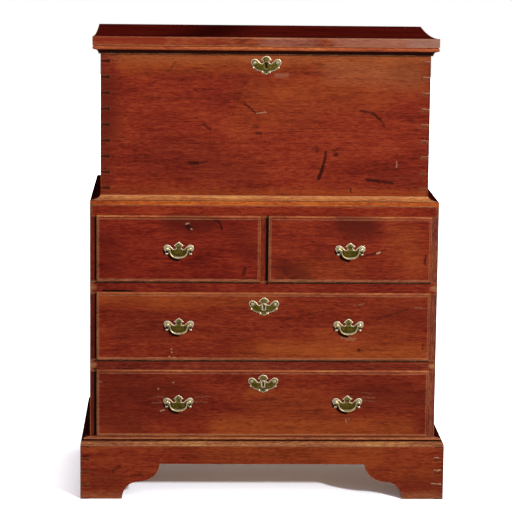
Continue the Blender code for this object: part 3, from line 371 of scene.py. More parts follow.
def frame_stains():
    """Painted shadows beside and under each drawer's lip and above the upper long drawer, the pale ends of
    the rails, and painted shade down the case's right edge.
    """
    painted_shadows = []
    for drawer in DRAWERS:
        low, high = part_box(drawer + "_front")
        drop, under = FOOT_GAP
        painted_shadows.append((low.x - GAP_PAST, low.z - drop, high.x - GAP_SHORT, low.z - drop, under, 1.0))
        wide = GAP_WIDE if drawer in WIDE_GAPS else GAP_NARROW
        x = low.x - wide / 2
        painted_shadows.append((x, low.z - GAP_PAST, x, high.z - GAP_SHORT, wide, 1.0))
    painted_shadows += RAIL_GAP
    pale = []
    for rail in ("upper_rail", "lower_rail"):
        low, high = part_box(rail)
        middle = (low.z + high.z) / 2
        for x0, x1, *rest in RAIL_ENDS:
            pale.append((x0, middle, x1, middle, *rest))
    return [("mahogany_smoke_and_shade", [RIGHT_EDGE_SHADE]), ("mahogany_worn", pale), ("mahogany_painted_shadow", painted_shadows)]


def linear(code):
    """An sRGB hex colour as linear red, green and blue."""
    parts = [int(code[k:k + 2], 16) / 255 for k in (1, 3, 5)]
    return tuple(c / 12.92 if c <= 0.04045 else ((c + 0.055) / 1.055) ** 2.4 for c in parts)


def shade(name, words, code):
    """A colour that a user may change."""
    return FloatVectorProperty(
        name=name, description=words, subtype="COLOR", size=3, min=0.0, max=1.0, default=linear(code))


def measure(name, words, metres):
    """A length that a user may change."""
    return FloatProperty(name=name, description=words, unit="LENGTH", min=0.0, default=metres)


class ChestWood(bpy.types.PropertyGroup):
    """Colours and edges of the woods."""
    mahogany_dark: shade("Mahogany, dark", "Darkest bands of the stained mahogany", "#58150C")
    mahogany_mid: shade("Mahogany, middle", "Body colour of the stained mahogany", "#822817")
    mahogany_light: shade("Mahogany, light", "Lightest bands of the stained mahogany", "#9C3F22")
    mahogany_worn: shade("Mahogany, worn", "Bare wood where the stain is rubbed off the edges", "#C08A5C")
    mahogany_faded: shade("Mahogany, faded", "Orange where light or rubbing thinned the stain", "#A04E1F")
    # Smoke and hand marks; also painted shade down the lit right edges of plinth, case and coffer.
    mahogany_smoke_and_shade: shade("Mahogany, smoked", "Brown where smoke and hands darkened the wax", "#360F0A")
    mahogany_pale: shade("Scuffs", "Pale scuffs through the polish", "#C0A07C")
    # Grey bloom of wax and dust, which also stands for the painted sheen at the right of the lid's edge.
    mahogany_dust_and_sheen: shade("Bloom", "Grey bloom of dried wax and dust on the lid's edge", "#9C7466")
    mahogany_black: shade("Mahogany, blackened", "Nearly black clouds of stain on the lid's top", "#0E0302")
    # Tan rubbed along the drawers' lips, which also stands for the highlights on them.
    mahogany_rubbed_and_highlight: shade("Mahogany, rubbed", "Tan along the drawers' lips", "#AA6E4A")
    # Grime in quirks and scratches; also the colour of the painted shade in the wood's crevices.
    mahogany_grime_and_shade: shade("Grime", "Old wax and dirt in the quirks and scratches", "#2A0A06")
    # Painted shadow: black where the shadows of the lips and bails fall, beside and under the lips, and in
    # the keyholes.
    mahogany_painted_shadow: shade("Gaps", "Black wax beside the drawers' lips and under the handles", "#120302")
    mahogany_end: shade("Mahogany, end grain", "Cut ends of the dovetail pins and tails", "#6A2A16")
    oak_light: shade("Oak, light", "Early wood of the drawer linings", "#B48C58")
    oak_dark: shade("Oak, dark", "Late wood of the drawer linings", "#86602F")
    pine_light: shade("Pine, light", "Early wood of the hidden boards", "#B88E5C")
    pine_dark: shade("Pine, dark", "Late wood of the hidden boards", "#7C5229")
    edge_round: measure("Edge rounding", "Radius to which the boards' edges are worn", 0.0012)


class ChestMetal(bpy.types.PropertyGroup):
    """Colours of the metal fittings."""
    brass_olive: shade("Brass, tarnished", "Olive tarnish on the flats of the brass", "#4A3E12")
    brass_gold: shade("Brass, clean", "Cleaner brass between the tarnish", "#736426")
    brass_handled: shade("Brass, handled", "Brass kept clean by fingers, on the bails and posts", "#A08E5A")
    brass_pale: shade("Brass, polished", "Brightest brass of the bails and posts", "#E4D4AA")
    # Rims rubbed bright, and the painted highlight along them.
    brass_rubbed_and_highlight: shade("Brass, rubbed", "Brass rubbed bright at the rims", "#FFEFD6")
    # Dirt round the posts and pins, and their painted shade.
    brass_dirt_and_shade: shade("Brass, dirt", "Old polish and dirt round the posts and pins", "#1A1206")
    iron_dark: shade("Iron, dark", "Forge scale on the lock cases", "#2E2B29")
    iron_light: shade("Iron, rubbed", "Iron rubbed grey at the edges", "#6C6762")


class ChestStudio(bpy.types.PropertyGroup):
    """Floor, lamps and camera."""
    floor: shade("Floor", "Plain pale floor", "#F4F3F1")
    key_level: FloatProperty(
        name="Key lamp", description="Strength of the far lamp", min=0.0, default=1.75)
    softbox_power: FloatProperty(
        name="Softbox", description="Power of the near softbox", unit="POWER", default=22.0)
    sky: FloatProperty(
        name="Sky", description="Even light from all round", min=0.0, default=0.32)
    lens: FloatProperty(
        name="Lens", description="Focal length on a 36 mm sensor, in millimetres", default=156.0)


def add(tree, kind, inputs=None, out=0, stops=(), **settings):
    """Adds a node and gives one of its outputs; a socket among the inputs is linked, the rest is set."""
    made = tree.nodes.new("ShaderNode" + kind)
    for key, value in settings.items():
        setattr(made, key, value)
    for key, value in (inputs or {}).items():
        if isinstance(value, bpy.types.NodeSocket):
            tree.links.new(value, made.inputs[key])
        else:
            made.inputs[key].default_value = (*value, 1.0) if isinstance(value, Color) else value
    for k, (place, colour) in enumerate(stops):
        if k >= len(made.color_ramp.elements):
            made.color_ramp.elements.new(place)
        made.color_ramp.elements[k].position = place
        made.color_ramp.elements[k].color = (*colour, 1.0)
    return made.outputs[out] if made.outputs else None


def blank(name):
    """A new material with an empty node tree."""
    made = bpy.data.materials.new(name)
    made.use_nodes = True
    made.node_tree.nodes.clear()
    return made, made.node_tree


def blank_wood(name):
    """A new wood: the material, its node tree, the place along the grain and the board's tint."""
    made, tree = blank(name)
    place = add(tree, "Attribute", out="Vector", attribute_name="grain")
    tint = add(tree, "Attribute", out="Vector", attribute_name="tint")
    return made, tree, place, tint


def streaks(tree, place, length, width, detail, rough=0.5, out=0):
    """A pattern of streaks along the grain, of a length and width in metres."""
    place = add(tree, "VectorMath", {0: place, 1: (1 / length, 1 / width, 1 / width)}, operation="MULTIPLY")
    return add(tree, "TexNoise", {"Vector": place, "Scale": 1.0, "Detail": detail, "Roughness": rough}, out)


def wander(tree, place, length, width, detail, reach):
    """The place along a grain that isn't straight: it wanders by half of reach to each side."""
    bend = streaks(tree, place, length, width, detail, out=1)
    bend = add(tree, "VectorMath", {0: bend, 1: (0.5, 0.5, 0.5)}, operation="SUBTRACT")
    bend = add(tree, "VectorMath", {0: bend, 1: (0.0, reach, reach)}, operation="MULTIPLY")
    return add(tree, "VectorMath", {0: place, 1: bend}, operation="ADD")


def edge_mask(tree, reach, start, full):
    """How far an outer edge is rubbed, 0 to 1, by how much a rounding of that reach turns the face."""
    face = add(tree, "NewGeometry", out="Normal")
    soft = add(tree, "Bevel", {"Radius": reach}, samples=4)
    turn = add(tree, "VectorMath", {0: face, 1: soft}, "Value", operation="DOT_PRODUCT")
    return add(tree, "MapRange", {0: turn, 1: start, 2: full})


def stain_mask(tree, place, depth, marks):
    """How far each point lies in one of the marks, 0 to 1; narrow marks are crisp, wide ones fade."""
    total = None
    for x0, z0, x1, z1, width, strength in marks:
        start = Vector((x0, depth, z0))
        run = Vector((x1, depth, z1)) - start
        away = add(tree, "VectorMath", {0: place, 1: start}, operation="SUBTRACT")
        along = run / run.length_squared
        share = add(tree, "VectorMath", {0: away, 1: along}, "Value", operation="DOT_PRODUCT")
        share = add(tree, "Clamp", {"Value": share})
        near = add(tree, "VectorMath", {0: run, "Scale": share}, operation="SCALE")
        far = add(tree, "VectorMath", {0: away, 1: near}, "Value", operation="DISTANCE")
        core = 0.0 if width > WIDE_MARK else width * (BLACK_CORE if strength == 1.0 else FAINT_CORE)
        fade = {0: far, 1: core, 2: width * MARK_REACH, 3: strength, 4: 0.0}
        mask = add(tree, "MapRange", fade, interpolation_type="SMOOTHSTEP")
        total = mask if total is None else add(tree, "Math", {0: total, 1: mask}, operation="MAXIMUM")
    return total


def stained(tree, body, grain, wood, stains, depth, level):
    """The body colour under the old stains and scratches of one face, which are ragged by 5 mm."""
    exact = add(tree, "TexCoord", out="Object")
    if level:
        # A level board is stood upright, so that its marks lie in x and z as on the others.
        exact = add(tree, "VectorRotate", {"Vector": exact, "Angle": math.pi / 2}, rotation_type="X_AXIS")
    ragged = add(tree, "TexNoise", {"Vector": exact, "Scale": 1 / 0.012, "Detail": 3.0}, 1)
    ragged = add(tree, "VectorMath", {0: ragged, 1: (0.5, 0.5, 0.5)}, operation="SUBTRACT")
    ragged = add(tree, "VectorMath", {0: ragged, "Scale": 0.010}, operation="SCALE")
    spot = add(tree, "VectorMath", {0: exact, 1: ragged}, operation="ADD")
    uneven = add(tree, "MapRange", {0: grain, 1: 0.40, 2: 0.60, 3: 0.30, 4: 0.95})
    for colour, marks in stains:
        mask = stain_mask(tree, exact if colour in STRAIGHT else spot, depth, marks)
        if colour in SOAKED:
            mask = add(tree, "Math", {0: mask, 1: uneven}, operation="MULTIPLY")
        body = add(tree, "Mix", {0: mask, 6: body, 7: getattr(wood, colour)}, 2, data_type="RGBA")
    return body


def mahogany(name, wood, stains=(), depth=0.0, shine=0.05, wear=0.95, level=False):
    """Mahogany, planed, stained red-brown and wax polished by hand for a very long time.

    The eye gets clouds of red and orange along the board, thin dark lines and pores, a satin face, edges
    rubbed to bare tan wood, black wax left in the quirks, and painted shade in the crevices.
    """
    made, tree, place, tint = blank_wood(name)
    # The grain wanders 12 mm to each side over some 300 mm of its length.
    lines = wander(tree, place, 0.30, 0.12, 1.0, 0.024)
    # Clouds of stain are 260 by 90 mm, bands of early and late wood 160 by 6 mm.
    cloud = streaks(tree, lines, 0.26, 0.09, 5.0, 0.6)
    band = streaks(tree, lines, 0.16, 0.006, 4.0, 0.7)
    # Pores are 0.2 mm wide and 5 mm long; drawn 3 by 20 mm, so that they show in the render.
    pore = streaks(tree, lines, 0.020, 0.0030, 2.0, 0.7)
    # Thin dark lines of the growth, 3 mm wide and 90 mm long, here and there.
    thread = streaks(tree, lines, 0.15 / 1.7, 0.005 / 1.7, 1.0)
    thread = add(tree, "MapRange", {0: thread, 1: 0.34, 2: 0.24, 4: 0.5})
    # Dark specks of old wax, 4 mm across, here and there.
    speck = add(tree, "TexNoise", {"Vector": place, "Scale": 1 / 0.008, "Detail": 2.0, "Roughness": 0.6})
    speck = add(tree, "MapRange", {0: speck, 1: 0.66, 2: 0.74, 4: 0.6})
    thread = add(tree, "Math", {0: thread, 1: speck}, operation="MAXIMUM")
    mixed = add(tree, "Mix", {0: 0.5, 2: cloud, 3: band}, data_type="FLOAT")
    mixed = add(tree, "Mix", {0: 0.40, 2: mixed, 3: pore}, data_type="FLOAT")
    body = add(tree, "ValToRGB", {0: mixed}, stops=(
        (0.39, wood.mahogany_dark), (0.50, wood.mahogany_mid), (0.61, wood.mahogany_light)))
    body = add(tree, "Mix", {0: thread, 6: body, 7: wood.mahogany_grime_and_shade}, 2, data_type="RGBA")
    body = add(tree, "VectorMath", {0: body, 1: tint}, operation="MULTIPLY")
    if stains:
        body = stained(tree, body, mixed, wood, stains, depth, level)
    # Edges are rubbed over 5 mm, in patches of 40 mm, where nothing stands close above them.
    turn = edge_mask(tree, 0.005, 0.985, 0.82)
    patch = add(tree, "TexNoise", {"Vector": place, "Scale": 1 / 0.040, "Detail": 4.0, "Roughness": 0.6})
    patch = add(tree, "MapRange", {0: patch, 1: 0.34, 2: 0.60, 3: wear * 0.25, 4: wear})
    open_air = add(tree, "AmbientOcclusion", {"Distance": 0.012}, "AO", samples=4, only_local=True)
    proud = add(tree, "MapRange", {0: open_air, 1: 0.72, 2: 0.98})
    rubbed = add(tree, "Math", {0: turn, 1: patch}, operation="MULTIPLY")
    rubbed = add(tree, "Math", {0: rubbed, 1: proud}, operation="MULTIPLY")
    body = add(tree, "Mix", {0: rubbed, 6: body, 7: wood.mahogany_worn}, 2, data_type="RGBA")
    # Painted shade: the colour goes towards grime where the board's own surface hems a point in, as in the
    # quirks.
    crevice_shade = add(tree, "MapRange", {0: open_air, 1: 0.80, 2: 0.35, 4: 0.75})
    body = add(tree, "Mix", {0: crevice_shade, 6: body, 7: wood.mahogany_grime_and_shade}, 2, data_type="RGBA")
    gloss = add(tree, "MapRange", {0: pore, 1: 0.35, 2: 0.65, 3: 0.58, 4: 0.44})
    relief = add(tree, "Math", {0: band, 1: pore}, operation="ADD")
    relief = add(tree, "Bump", {"Height": relief, "Strength": 0.10, "Distance": 0.0006})
    skin = add(tree, "BsdfPrincipled", {
        "Base Color": body, "Roughness": gloss, "Normal": relief,
        "IOR": WOOD_IOR, "Specular IOR Level": shine})
    add(tree, "OutputMaterial", {"Surface": skin})
    return made


def end_grain(name, wood):
    """Mahogany cut across, sawn and stained: dark, matt, with close-set pores and no long bands."""
    made, tree, place, tint = blank_wood(name)
    # Pore ends are 0.2 mm across; drawn at 2 mm so that they show.
    dots = add(tree, "TexNoise", {"Vector": place, "Scale": 1 / 0.002, "Detail": 2.0, "Roughness": 0.7})
    rings = add(tree, "VectorMath", {0: place, 1: (1 / 0.05, 1 / 0.05, 1 / 0.004)}, operation="MULTIPLY")
    rings = add(tree, "TexNoise", {"Vector": rings, "Scale": 1.0, "Detail": 3.0})
    mixed = add(tree, "Mix", {0: 0.5, 2: dots, 3: rings}, data_type="FLOAT")
    body = add(tree, "ValToRGB", {0: mixed}, stops=(
        (0.36, wood.mahogany_dark), (0.52, wood.mahogany_end), (0.70, wood.mahogany_mid)))
    body = add(tree, "VectorMath", {0: body, 1: tint}, operation="MULTIPLY")
    relief = add(tree, "Bump", {"Height": dots, "Strength": 0.2, "Distance": 0.0005})
    skin = add(tree, "BsdfPrincipled", {
        "Base Color": body, "Roughness": 0.62, "Normal": relief,
        "IOR": WOOD_IOR, "Specular IOR Level": 0.06})
    add(tree, "OutputMaterial", {"Surface": skin})
    return made


def plain_wood(name, light, dark, band_width, ray):
    """Oak or pine, planed or sawn and left bare.

    The eye gets a dry, matt board with bands of early and late wood and grey dirt from handling.
    """
    made, tree, place, tint = blank_wood(name)
    lines = wander(tree, place, 0.4, 0.09, 2.0, 0.03)
    band = streaks(tree, lines, 0.5, band_width, 3.0, 0.55)
    # Rays and fibres are 0.3 mm wide; drawn at 2 mm so that they show.
    fibre = streaks(tree, lines, ray, 0.002, 3.0, 0.7)
    mixed = add(tree, "Mix", {0: 0.4, 2: band, 3: fibre}, data_type="FLOAT")
    body = add(tree, "ValToRGB", {0: mixed}, stops=((0.36, dark), (0.62, light)))
    # Handling dirt in patches of 150 mm.
    soil = add(tree, "TexNoise", {"Vector": place, "Scale": 1 / 0.15, "Detail": 4.0, "Roughness": 0.6})
    soil = add(tree, "MapRange", {0: soil, 1: 0.45, 2: 0.75, 4: 0.5})
    body = add(tree, "Mix", {0: soil, 6: body, 7: dark}, 2, data_type="RGBA")
    body = add(tree, "VectorMath", {0: body, 1: tint}, operation="MULTIPLY")
    rough = add(tree, "MapRange", {0: fibre, 1: 0.3, 2: 0.7, 3: 0.62, 4: 0.8})
    relief = add(tree, "Bump", {"Height": mixed, "Strength": 0.18, "Distance": 0.0007})
    skin = add(tree, "BsdfPrincipled", {
        "Base Color": body, "Roughness": rough, "Normal": relief,
        "IOR": WOOD_IOR, "Specular IOR Level": 0.3})
    add(tree, "OutputMaterial", {"Surface": skin})
    return made


def worked_metal(name, dark, light, rim_and_highlight, crevice_shade, reach, grit, gloss):
    """Cast brass or forged iron.

    The eye gets tarnish or scale in patches of 9 mm on the flats, rims rubbed bright by hands and painted
    brighter as highlights, and dirt with painted shade in the corners.
    """
    made, tree = blank(name)
    place = add(tree, "TexCoord", out="Object")
    patch = add(tree, "TexNoise", {"Vector": place, "Scale": 1 / 0.009, "Detail": 4.0, "Roughness": 0.62})
    body = add(tree, "ValToRGB", {0: patch}, stops=((0.38, dark), (0.68, light)))
    # Painted highlight: rims rubbed bright are painted brighter still, wider than the chamfer, where the
    # edges catch the light.
    turn = edge_mask(tree, reach, 0.97, 0.86)
    # The coffer's plate has no rubbed and highlighted rim round its keyhole: it carries a "hush" value
    # there.
    hush = add(tree, "Attribute", out="Fac", attribute_name="hush")
    turn = add(tree, "Math", {0: turn, 1: hush}, operation="SUBTRACT", use_clamp=True)
    body = add(tree, "Mix", {0: turn, 6: body, 7: rim_and_highlight}, 2, data_type="RGBA")
    # Painted shade: dirt colour where the piece's own surface hems a point in, round the posts and pins,
    # standing also for their shadows.
    corner_shade = add(tree, "AmbientOcclusion", {"Distance": 0.008}, "AO", samples=4, only_local=True)
    corner_shade = add(tree, "MapRange", {0: corner_shade, 1: 0.78, 2: 0.40, 4: 0.92})
    body = add(tree, "Mix", {0: corner_shade, 6: body, 7: crevice_shade}, 2, data_type="RGBA")
    pits = add(tree, "TexNoise", {"Vector": place, "Scale": 1 / grit, "Detail": 3.0, "Roughness": 0.6})
    rough = add(tree, "MapRange", {0: patch, 1: 0.35, 2: 0.7, 3: gloss + 0.14, 4: gloss})
    relief = add(tree, "Bump", {"Height": pits, "Strength": 0.25, "Distance": 0.0003})
    skin = add(tree, "BsdfPrincipled", {
        "Base Color": body, "Metallic": 1.0, "Roughness": rough, "Normal": relief})
    add(tree, "OutputMaterial", {"Surface": skin})
    return made


# What sets each mahogany finish apart: its marks and the face they lie on, its shine and its wear.
MAHOGANIES = {
    "waxed_mahogany": {},
    "waxed_mahogany_coffer": {"wear": 0.35},
    "waxed_mahogany_coffer_front": {"stains": COFFER_STAINS, "depth": COFFER_FACE, "wear": 0.35},
    "waxed_mahogany_frame": {"stains": frame_stains(), "depth": CASE_FACE},
    "waxed_mahogany_plinth": {"stains": PLINTH_STAINS, "depth": PLINTH_FACE, "wear": 0.5},
    "waxed_mahogany_lid_edge": {"stains": LID_EDGE_STAINS, "depth": LID_FACE},
    "dull_mahogany_lid_top": {"stains": LID_TOP_STAINS, "depth": -LID_LEVEL, "shine": 0.0, "level": True},
    "dull_mahogany": {"shine": 0.0, "wear": 0.12},
}
for drawer in DRAWERS:
    MAHOGANIES["waxed_mahogany_" + drawer] = {"stains": front_stains(drawer), "depth": DRAWER_FACE}
# Bare woods: light and dark colour, width of the bands and length of the fibres in metres.
BARE_WOODS = {
    "planed_oak": ("oak_light", "oak_dark", 0.012, 0.030),
    "sawn_pine": ("pine_light", "pine_dark", 0.018, 0.120),
}
# Metals: two colours of the flats, rubbed rim with painted highlight, dirt with painted shade; reach of the
# rim and grit in metres; least roughness.
METALS = {
    "cast_brass": ("brass_olive", "brass_gold", "brass_rubbed_and_highlight", "brass_dirt_and_shade", 0.0050, 0.0012, 0.32),
    "rubbed_brass": ("brass_handled", "brass_pale", "brass_rubbed_and_highlight", "brass_dirt_and_shade", 0.0016, 0.0012, 0.28),
    "forged_iron": ("iron_dark", "iron_dark", "iron_light", "iron_dark", 0.0016, 0.0015, 0.50),
}


def finish_named(context, name):
    """The named finish, made once."""
    ready = bpy.data.materials.get(name)
    if ready:
        return ready
    wood = context.scene.chest_wood
    metal = context.scene.chest_metal
    if name in MAHOGANIES:
        return mahogany(name, wood, **MAHOGANIES[name])
    if name == "sawn_mahogany_end_grain":
        return end_grain(name, wood)
    if name in BARE_WOODS:
        light, dark, *sizes = BARE_WOODS[name]
        return plain_wood(name, getattr(wood, light), getattr(wood, dark), *sizes)
    if name in METALS:
        colours = [getattr(metal, colour) for colour in METALS[name][:4]]
        return worked_metal(name, *colours, *METALS[name][4:])
    raise RuntimeError("no finish is named " + name)


def clean_copy(node, rounding, above=-1.0, mitred=False):
    """The node's solid as a mesh of flat faces, its long outer edges rounded above a height."""
    form = bmesh.new()
    form.from_mesh(frame["nodes"][node].data)
    bmesh.ops.remove_doubles(form, verts=form.verts, dist=BOARD_WELD)
    bmesh.ops.dissolve_limit(
        form, angle_limit=FLAT_ANGLE, use_dissolve_boundaries=False, verts=form.verts, edges=form.edges)
    bmesh.ops.recalc_face_normals(form, faces=form.faces)
    if rounding > 0:
        short = {v for e in form.edges if e.calc_length() < rounding * 3 for v in e.verts}
        edges = []
        for edge in form.edges:
            if len(edge.link_faces) != 2 or not edge.is_convex:
                continue
            if edge.calc_length() < rounding * 8 or edge.calc_face_angle() < ARRIS_ANGLE:
                continue
            if edge.verts[0] in short or edge.verts[1] in short:
                continue
            if min(v.co.z for v in edge.verts) > above:
                edges.append(edge)
        if edges:
            bmesh.ops.bevel(
                form, geom=edges, offset=rounding, offset_type="OFFSET", segments=2, profile=0.5,
                affect="EDGES", clamp_overlap=True)
    if mitred:
        # A flat band that turns a corner is cut along its mitre, so that its front and sides can differ.
        low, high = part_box(node)
        for side in (-1, 1):
            bmesh.ops.bisect_plane(
                form, geom=form.verts[:] + form.edges[:] + form.faces[:], dist=MITRE_SNAP,
                plane_co=Vector((side * high.x, low.y, 0)), plane_no=Vector((side, 1, 0)).normalized())
    mesh = bpy.data.meshes.new(node + "_dressed")
    form.to_mesh(mesh)
    form.free()
    return mesh


def smooth(mesh):
    """Shades the rounded faces smooth and keeps the real corners sharp."""
    mesh.polygons.foreach_set("use_smooth", [True] * len(mesh.polygons))
    mesh.set_sharp_from_angle(angle=CORNER_ANGLE)


def runs_along_side(face, low, high):
    """Whether a face of a mitred moulding belongs to one of its sides and not to its front."""
    return face.center.y - low.y >= high.x - abs(face.center.x)


def paint_grain(mesh, axis, tint, seed, box):
    """Gives each corner of the mesh its place along the grain, its board's tint, and the end-grain slot."""
    draw = random.Random(SEED * 1000 + seed)
    offset = Vector((draw.uniform(0, 9), draw.uniform(0, 9), draw.uniform(0, 9)))
    places = []
    tints = []
    for face in mesh.polygons:
        way = axis
        if axis == "mitred":
            way = "y" if runs_along_side(face, *box) else "x"
        first, second, third = ALONG[way]
        if axis != "mitred" and abs(face.normal[first]) > ACROSS:
            face.material_index = 1
        colour = tint(face) if callable(tint) else tint
        for loop in face.loop_indices:
            point = mesh.vertices[mesh.loops[loop].vertex_index].co
            places += [point[first] + offset.x, point[second] + offset.y, point[third] + offset.z]
            tints += colour
    for name, values in (("grain", places), ("tint", tints)):
        mesh.attributes.new(name, "FLOAT_VECTOR", "CORNER").data.foreach_set("vector", values)


def place_piece(name, mesh, body, replaced=(), even=False):
    """Puts a mesh in the scene as a piece that rides on a body."""
    piece = bpy.data.objects.new(name, mesh)
    bpy.context.scene.collection.objects.link(piece)
    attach(piece, body)
    if replaced:
        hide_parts(*replaced)
    if even:
        piece.modifiers.new("even_normals", "WEIGHTED_NORMAL").keep_sharp = True
    return piece


def dress_board(
        context, node, axis, tint, finish="waxed_mahogany", slot="mahogany", rounding=None, above=-1.0):
    """Replaces a wooden node by its rounded, grained board."""
    if rounding is None:
        rounding = context.scene.chest_wood.edge_round
    mesh = clean_copy(node, rounding, above, axis == "mitred")
    for name in (finish, "sawn_mahogany_end_grain" if slot == "mahogany" else finish):
        mesh.materials.append(finish_named(context, name))
    smooth(mesh)
    paint_grain(mesh, axis, tint, sorted(BODY_OF).index(node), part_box(node))
    return place_piece(node + "_board", mesh, BODY_OF[node], (node,), even=True)


def dress_metal(context, node, finish, rounding):
    """Replaces a plain metal node by its rounded copy."""
    mesh = clean_copy(node, rounding)
    mesh.materials.append(finish_named(context, finish))
    smooth(mesh)
    place_piece(node + "_metal", mesh, BODY_OF[node], (node,), even=True)


def turned(form, profile, at, sides, finish):
    """Adds a turned solid to form: a profile of radius and height at a point, towards the front."""
    turn = FRONT.to_track_quat("Z", "Y").to_matrix()
    before = set(form.faces)
    rings = []
    for radius, height in profile:
        count = sides if radius > 0 else 1
        ring = []
        for k in range(count):
            angle = 2 * math.pi * k / sides
            local = Vector((radius * math.cos(angle), radius * math.sin(angle), height))
            ring.append(form.verts.new(at + turn @ local))
        rings.append(ring)
    form.faces.new(list(reversed(rings[0])))
    for low, high in zip(rings, rings[1:]):
        for k in range(sides):
            after = (k + 1) % sides
            if len(high) == 1:
                form.faces.new((low[k], low[after], high[0]))
            else:
                form.faces.new((low[k], low[after], high[after], high[k]))
    for face in set(form.faces) - before:
        face.material_index = finish


def screw_head(form, at, angle):
    """Adds a slotted screw head to form, looking back: two half rounds with the slot's floor between."""
    turn = BACK.to_track_quat("Z", "Y").to_matrix() @ Matrix.Rotation(angle, 3, "Z")
    reach = math.asin(SCREW_SLOT / 2 / SCREW_RADIUS)
    floor = []
    for side in (0.0, math.pi):
        arc = [side + reach + (math.pi - 2 * reach) * k / SCREW_STEPS for k in range(SCREW_STEPS + 1)]
        rows = []
        for radius, height in SCREW_PROFILE:
            row = []
            for a in arc:
                local = Vector((radius * math.cos(a), radius * math.sin(a), height))
                row.append(form.verts.new(at + turn @ local))
            rows.append(row)
        for low, high in zip(rows, rows[1:]):
            for k in range(SCREW_STEPS):
                form.faces.new((low[k], low[k + 1], high[k + 1], high[k]))
        form.faces.new(rows[2])
        form.faces.new((rows[0][0], rows[1][0], rows[2][0], rows[2][-1], rows[1][-1], rows[0][-1]))
        floor += [rows[0][0], rows[0][-1]]
    form.faces.new(floor)


def key_outline():
    """The keyhole's outline: a round above a slot."""
    start = math.asin(KEY_SLOT / 2 / KEY_RADIUS)
    arc = [-math.pi / 2 + start + (2 * math.pi - 2 * start) * k / KEY_STEPS for k in range(KEY_STEPS + 1)]
    hole = [(KEY_RADIUS * math.cos(a), KEY_UP + KEY_RADIUS * math.sin(a)) for a in arc]
    return hole + [(-KEY_SLOT / 2, KEY_UP - KEY_DROP), (KEY_SLOT / 2, KEY_UP - KEY_DROP)]


def brass_plate(right, hole):
    """A cut and chamfered plate from its right half, lying in x and y, with or without a keyhole."""
    curve = bpy.data.curves.new("plate_outline", "CURVE")
    curve.dimensions = "2D"
    curve.fill_mode = "BOTH"
    curve.resolution_u = 6
    curve.extrude = PLATE_THICK / 2 - PLATE_CHAMFER
    curve.bevel_depth = PLATE_CHAMFER
    curve.bevel_resolution = 1
    curve.offset = -PLATE_CHAMFER
    left = tuple((-x, y, sharp) for x, y, sharp in reversed(right[1:-1]))
    outline = curve.splines.new("BEZIER")
    outline.bezier_points.add(len(right) + len(left) - 1)
    outline.use_cyclic_u = True
    for point, (x, y, sharp) in zip(outline.bezier_points, right + left):
        point.co = (x, y, 0.0)
        point.handle_left_type = "VECTOR" if sharp else "AUTO"
        point.handle_right_type = "VECTOR" if sharp else "AUTO"
    if hole:
        ring = curve.splines.new("POLY")
        ring.points.add(len(hole) - 1)
        ring.use_cyclic_u = True
        for point, (x, y) in zip(ring.points, hole):
            point.co = (x, y, 0.0, 1.0)
    holder = bpy.data.objects.new("plate_outline", curve)
    bpy.context.scene.collection.objects.link(holder)
    ready = holder.evaluated_get(bpy.context.evaluated_depsgraph_get())
    mesh = bpy.data.meshes.new_from_object(ready)
    bpy.data.objects.remove(holder)
    bpy.data.curves.remove(curve)
    return mesh


def plate_form(node, right, turnings, hole=()):
    """The plate of a node with its turned parts, where the node stands, and its centre on the wood."""
    low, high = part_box(node)
    centre = Vector(((low.x + high.x) / 2, high.y, high.z - PLATE_TOP))
    flat = brass_plate(right, hole)
    upright = Matrix.Rotation(math.pi / 2, 4, "X")
    flat.transform(Matrix.Translation(centre + FRONT * (PLATE_THICK / 2)) @ upright)
    form = bmesh.new()
    form.from_mesh(flat)
    bmesh.ops.remove_doubles(form, verts=form.verts, dist=BRASS_WELD)
    bpy.data.meshes.remove(flat)
    face = centre + FRONT * PLATE_THICK
    for side in (-1, 1):
        for profile, across, up, sides, finish in turnings:
            turned(form, profile, face + Vector((side * across, 0, up)), sides, finish)
    return form, centre


def form_to_mesh(form, name, finishes):
    """A finished mesh from a bmesh."""
    bmesh.ops.recalc_face_normals(form, faces=form.faces)
    mesh = bpy.data.meshes.new(name)
    form.to_mesh(mesh)
    form.free()
    for finish in finishes:
        mesh.materials.append(finish)
    smooth(mesh)
    return mesh


def cast_piece(context, node, form, finishes):
    """Replaces a brass node by a cast piece, and gives its mesh."""
    mesh = form_to_mesh(form, node + "_cast", [finish_named(context, finish) for finish in finishes])
    place_piece(node + "_cast", mesh, BODY_OF[node], (node,))
    return mesh


def swept(form, points, centre, closed, sides=12):
    """Adds a rod to form along points of across, up and radius, in the upright plane through the centre."""
    before = set(form.faces)
    last = len(points) - 1
    rings = []
    for k, (x, z, reach) in enumerate(points):
        back = points[k - 1 if closed else max(k - 1, 0)]
        ahead = points[(k + 1) % len(points) if closed else min(k + 1, last)]
        run = Vector((ahead[0] - back[0], 0, ahead[1] - back[1])).normalized()
        side = BACK.cross(run)
        ring = []
        for turn in range(sides):
            angle = 2 * math.pi * turn / sides
            around = side * math.cos(angle) + BACK * math.sin(angle)
            ring.append(form.verts.new(centre + Vector((x, 0, z)) + around * reach))
        rings.append(ring)
    follow = rings[1:] + rings[:1] if closed else rings[1:]
    for low, high in zip(rings, follow):
        for k in range(sides):
            after = (k + 1) % sides
            form.faces.new((low[k], low[after], high[after], high[k]))
    if not closed:
        form.faces.new(rings[0])
        form.faces.new(list(reversed(rings[-1])))
    for face in set(form.faces) - before:
        face.material_index = 1


